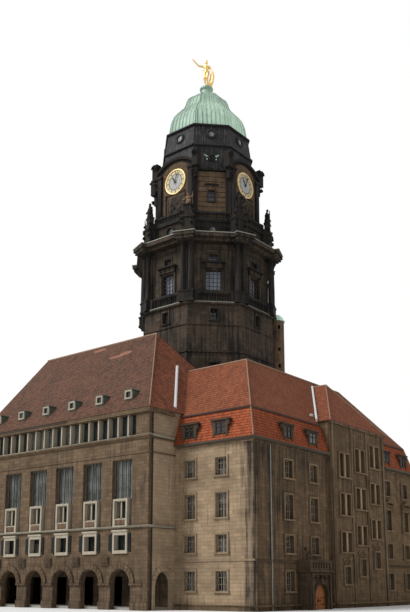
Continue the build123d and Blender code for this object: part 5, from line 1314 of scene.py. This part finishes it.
for side in (-1, 1):
    porch_bits += [((face + 0.012, door_y + side * 0.225, 0.22), NO_TURN, (0.03, 0.035, 0.40)),
                   ((face + 0.014, door_y + side * 0.225, 0.435), NO_TURN, (0.04, 0.055, 0.03)),
                   ((face + 0.014, door_y + side * 0.225, 0.03), NO_TURN, (0.036, 0.05, 0.06)),
                   ((face + 0.005, door_y + side * 0.262, 0.24), NO_TURN, (0.02, 0.014, 0.42))]
porch_bits += [((face + 0.018, door_y, 0.362), NO_TURN, (0.034, 0.045, 0.075)),
               ((face + 0.008, door_y, 0.458), NO_TURN, (0.03, 0.5, 0.02))]
for i in range(9):
    a = pi * (i + 0.5) / 9
    porch_bits.append(((face + 0.017, door_y + 0.179 * cos(a), 0.17 + 0.179 * sin(a)), (a, 0, 0),
                       (0.012, 0.03, 0.046)))
for i in range(12):
    porch_bits.append(((face + 0.026, CORNER_Y + 0.985 + 0.047 * i, 0.496), NO_TURN, (0.014, 0.022, 0.022)))
orb = [((face - 0.01, CORNER_Y + 1.0, 0.70), NO_TURN, (0.042, 0.042, 0.048))]
ball = lathed([(0.3, -1), (0.8, -0.7), (1, -0.1), (0.75, 0.55), (0.2, 1)], 10)
scroll_bits = [((face + 0.016, door_y + side * 0.11, 0.40), (0, 0, pi / 2), (side * 0.8, 1, 0.8))
               for side in (-1, 1)]
added("porch_carving",
      merged([blocks_at(porch_bits, porch_stone), copied(ball, orb, porch_stone),
              copied(scroll(1.3, 0.04, 0.03), scroll_bits, porch_stone)]), porch_stone)

# Narrow side lights beside the low box windows of the arcade: flat dark panes in the wall, half behind the
# frames. They are also painted shade beside the projecting frames.
side_panes_and_shade = [((x + at, ARCADE_Y - 0.004, 0.868), NO_TURN, (wide, 0.014, 0.215)) for x in bay_x
              for at, wide in ((-0.170, 0.10), (0.150, 0.06))]
dark_pane_and_shade = paint("dark_side_pane_and_shade", (0.010, 0.012, 0.012), 0.35, vary=0.3, grime=(0.04, 0.045, 0.04))
added("low_window_side_lights", blocks_at(side_panes_and_shade, dark_pane_and_shade), dark_pane_and_shade)

# Window surrounds of the side range: raised stone frames with a sill at every opening, a lighter post between
# the paired windows of the stair bay, small scrolls over its low windows, and a dark moulding at first-floor
# level.
frame_stone = masonry("window_frame_stone", (0.27, 0.185, 0.110), (0.19, 0.130, 0.078), (0.050, 0.036, 0.026),
                      0.2, 0.3, 0.001, 1.04, 1.45)
post_stone = masonry("tan_post_stone", (0.42, 0.30, 0.185), (0.33, 0.235, 0.145), (0.12, 0.085, 0.055), 0.2,
                     0.3, 0.001, 1.1, 1.5)


def surround_of(u, out_by, z0, z1, width, wide=0.022):
    """Spots for the two sides, head and sill of one window on a wall that faces +X."""
    turn, mid = (0, 0, pi / 2), (z0 + z1) / 2
    found = [((out_by, u + side * (width + wide) / 2, mid), turn, (wide, 0.016, z1 - z0 + 2 * wide))
             for side in (-1, 1)]
    found.append(((out_by, u, z1 + wide / 2), turn, (width, 0.016, wide)))
    found.append(((out_by + 0.004, u, z0 - 0.012), turn, (width + 0.075, 0.030, 0.022)))
    return found


surrounds, posts, curls = [], [], []
for y, z0, z1 in side_openings:
    surrounds += surround_of(y, CORNER_X + 0.016, z0, z1, 0.19)
for i, y in enumerate(stair_cols):
    for z0, z1 in stair_rows:
        surrounds += surround_of(y, CORNER_X + 0.076, z0 + STAIR_RISE * i, z1 + STAIR_RISE * i, 0.30)
        posts.append(((CORNER_X + 0.070, y, (z0 + z1) / 2 + STAIR_RISE * i), NO_TURN,
                      (0.030, 0.040, z1 - z0)))
    surrounds += surround_of(y, CORNER_X + 0.076, 0.33 + STAIR_RISE * i, 0.57 + STAIR_RISE * i, 0.18)
    for side in (-1, 1):
        curls.append(((CORNER_X + 0.066, y + side * 0.06, 0.635 + STAIR_RISE * i), (0, 0, pi / 2),
                      (side * 1.4, 1, 1.3)))
mouldings = [[(2.745, -2.50, 0.612), (2.745, -1.545, 0.612)], [(2.745, 1.03, 0.612), (2.745, 2.15, 0.612)]]
added("side_window_surrounds",
      merged([blocks_at(surrounds, frame_stone), copied(scroll(1.3, 0.04, 0.03), curls, frame_stone)]),
      frame_stone)
added("stair_bay_posts", blocks_at(posts, post_stone), post_stone)
added("side_moulding", strip(mouldings, 0.03, 0.022, porch_stone), porch_stone)

# Iron of the entrance doors: two flat straps and a ring handle on each leaf. They are bolted to the leaves
# and swing with them, clear of the porch.
ring_pull = hoop([(0.013, -0.002), (0.013, 0.002), (0.009, 0.002), (0.009, -0.002)], 16)
for side, leaf in ((-1, "door_leaf_left"), (1, "door_leaf_right")):
    straps = [((CORNER_X + 0.1575, door_y + side * 0.085, z), NO_TURN, (0.003, 0.112, 0.009))
              for z in (0.066, 0.152)]
    straps += [((CORNER_X + 0.1575, door_y + side * 0.026, 0.118), NO_TURN, (0.003, 0.014, 0.030))]
    pull = [((CORNER_X + 0.162, door_y + side * 0.026, 0.110), (0, pi / 2, 0), (1, 1, 1))]
    added(leaf + "_iron", merged([blocks_at(straps, iron), copied(ring_pull, pull, iron)]), iron, leaf)
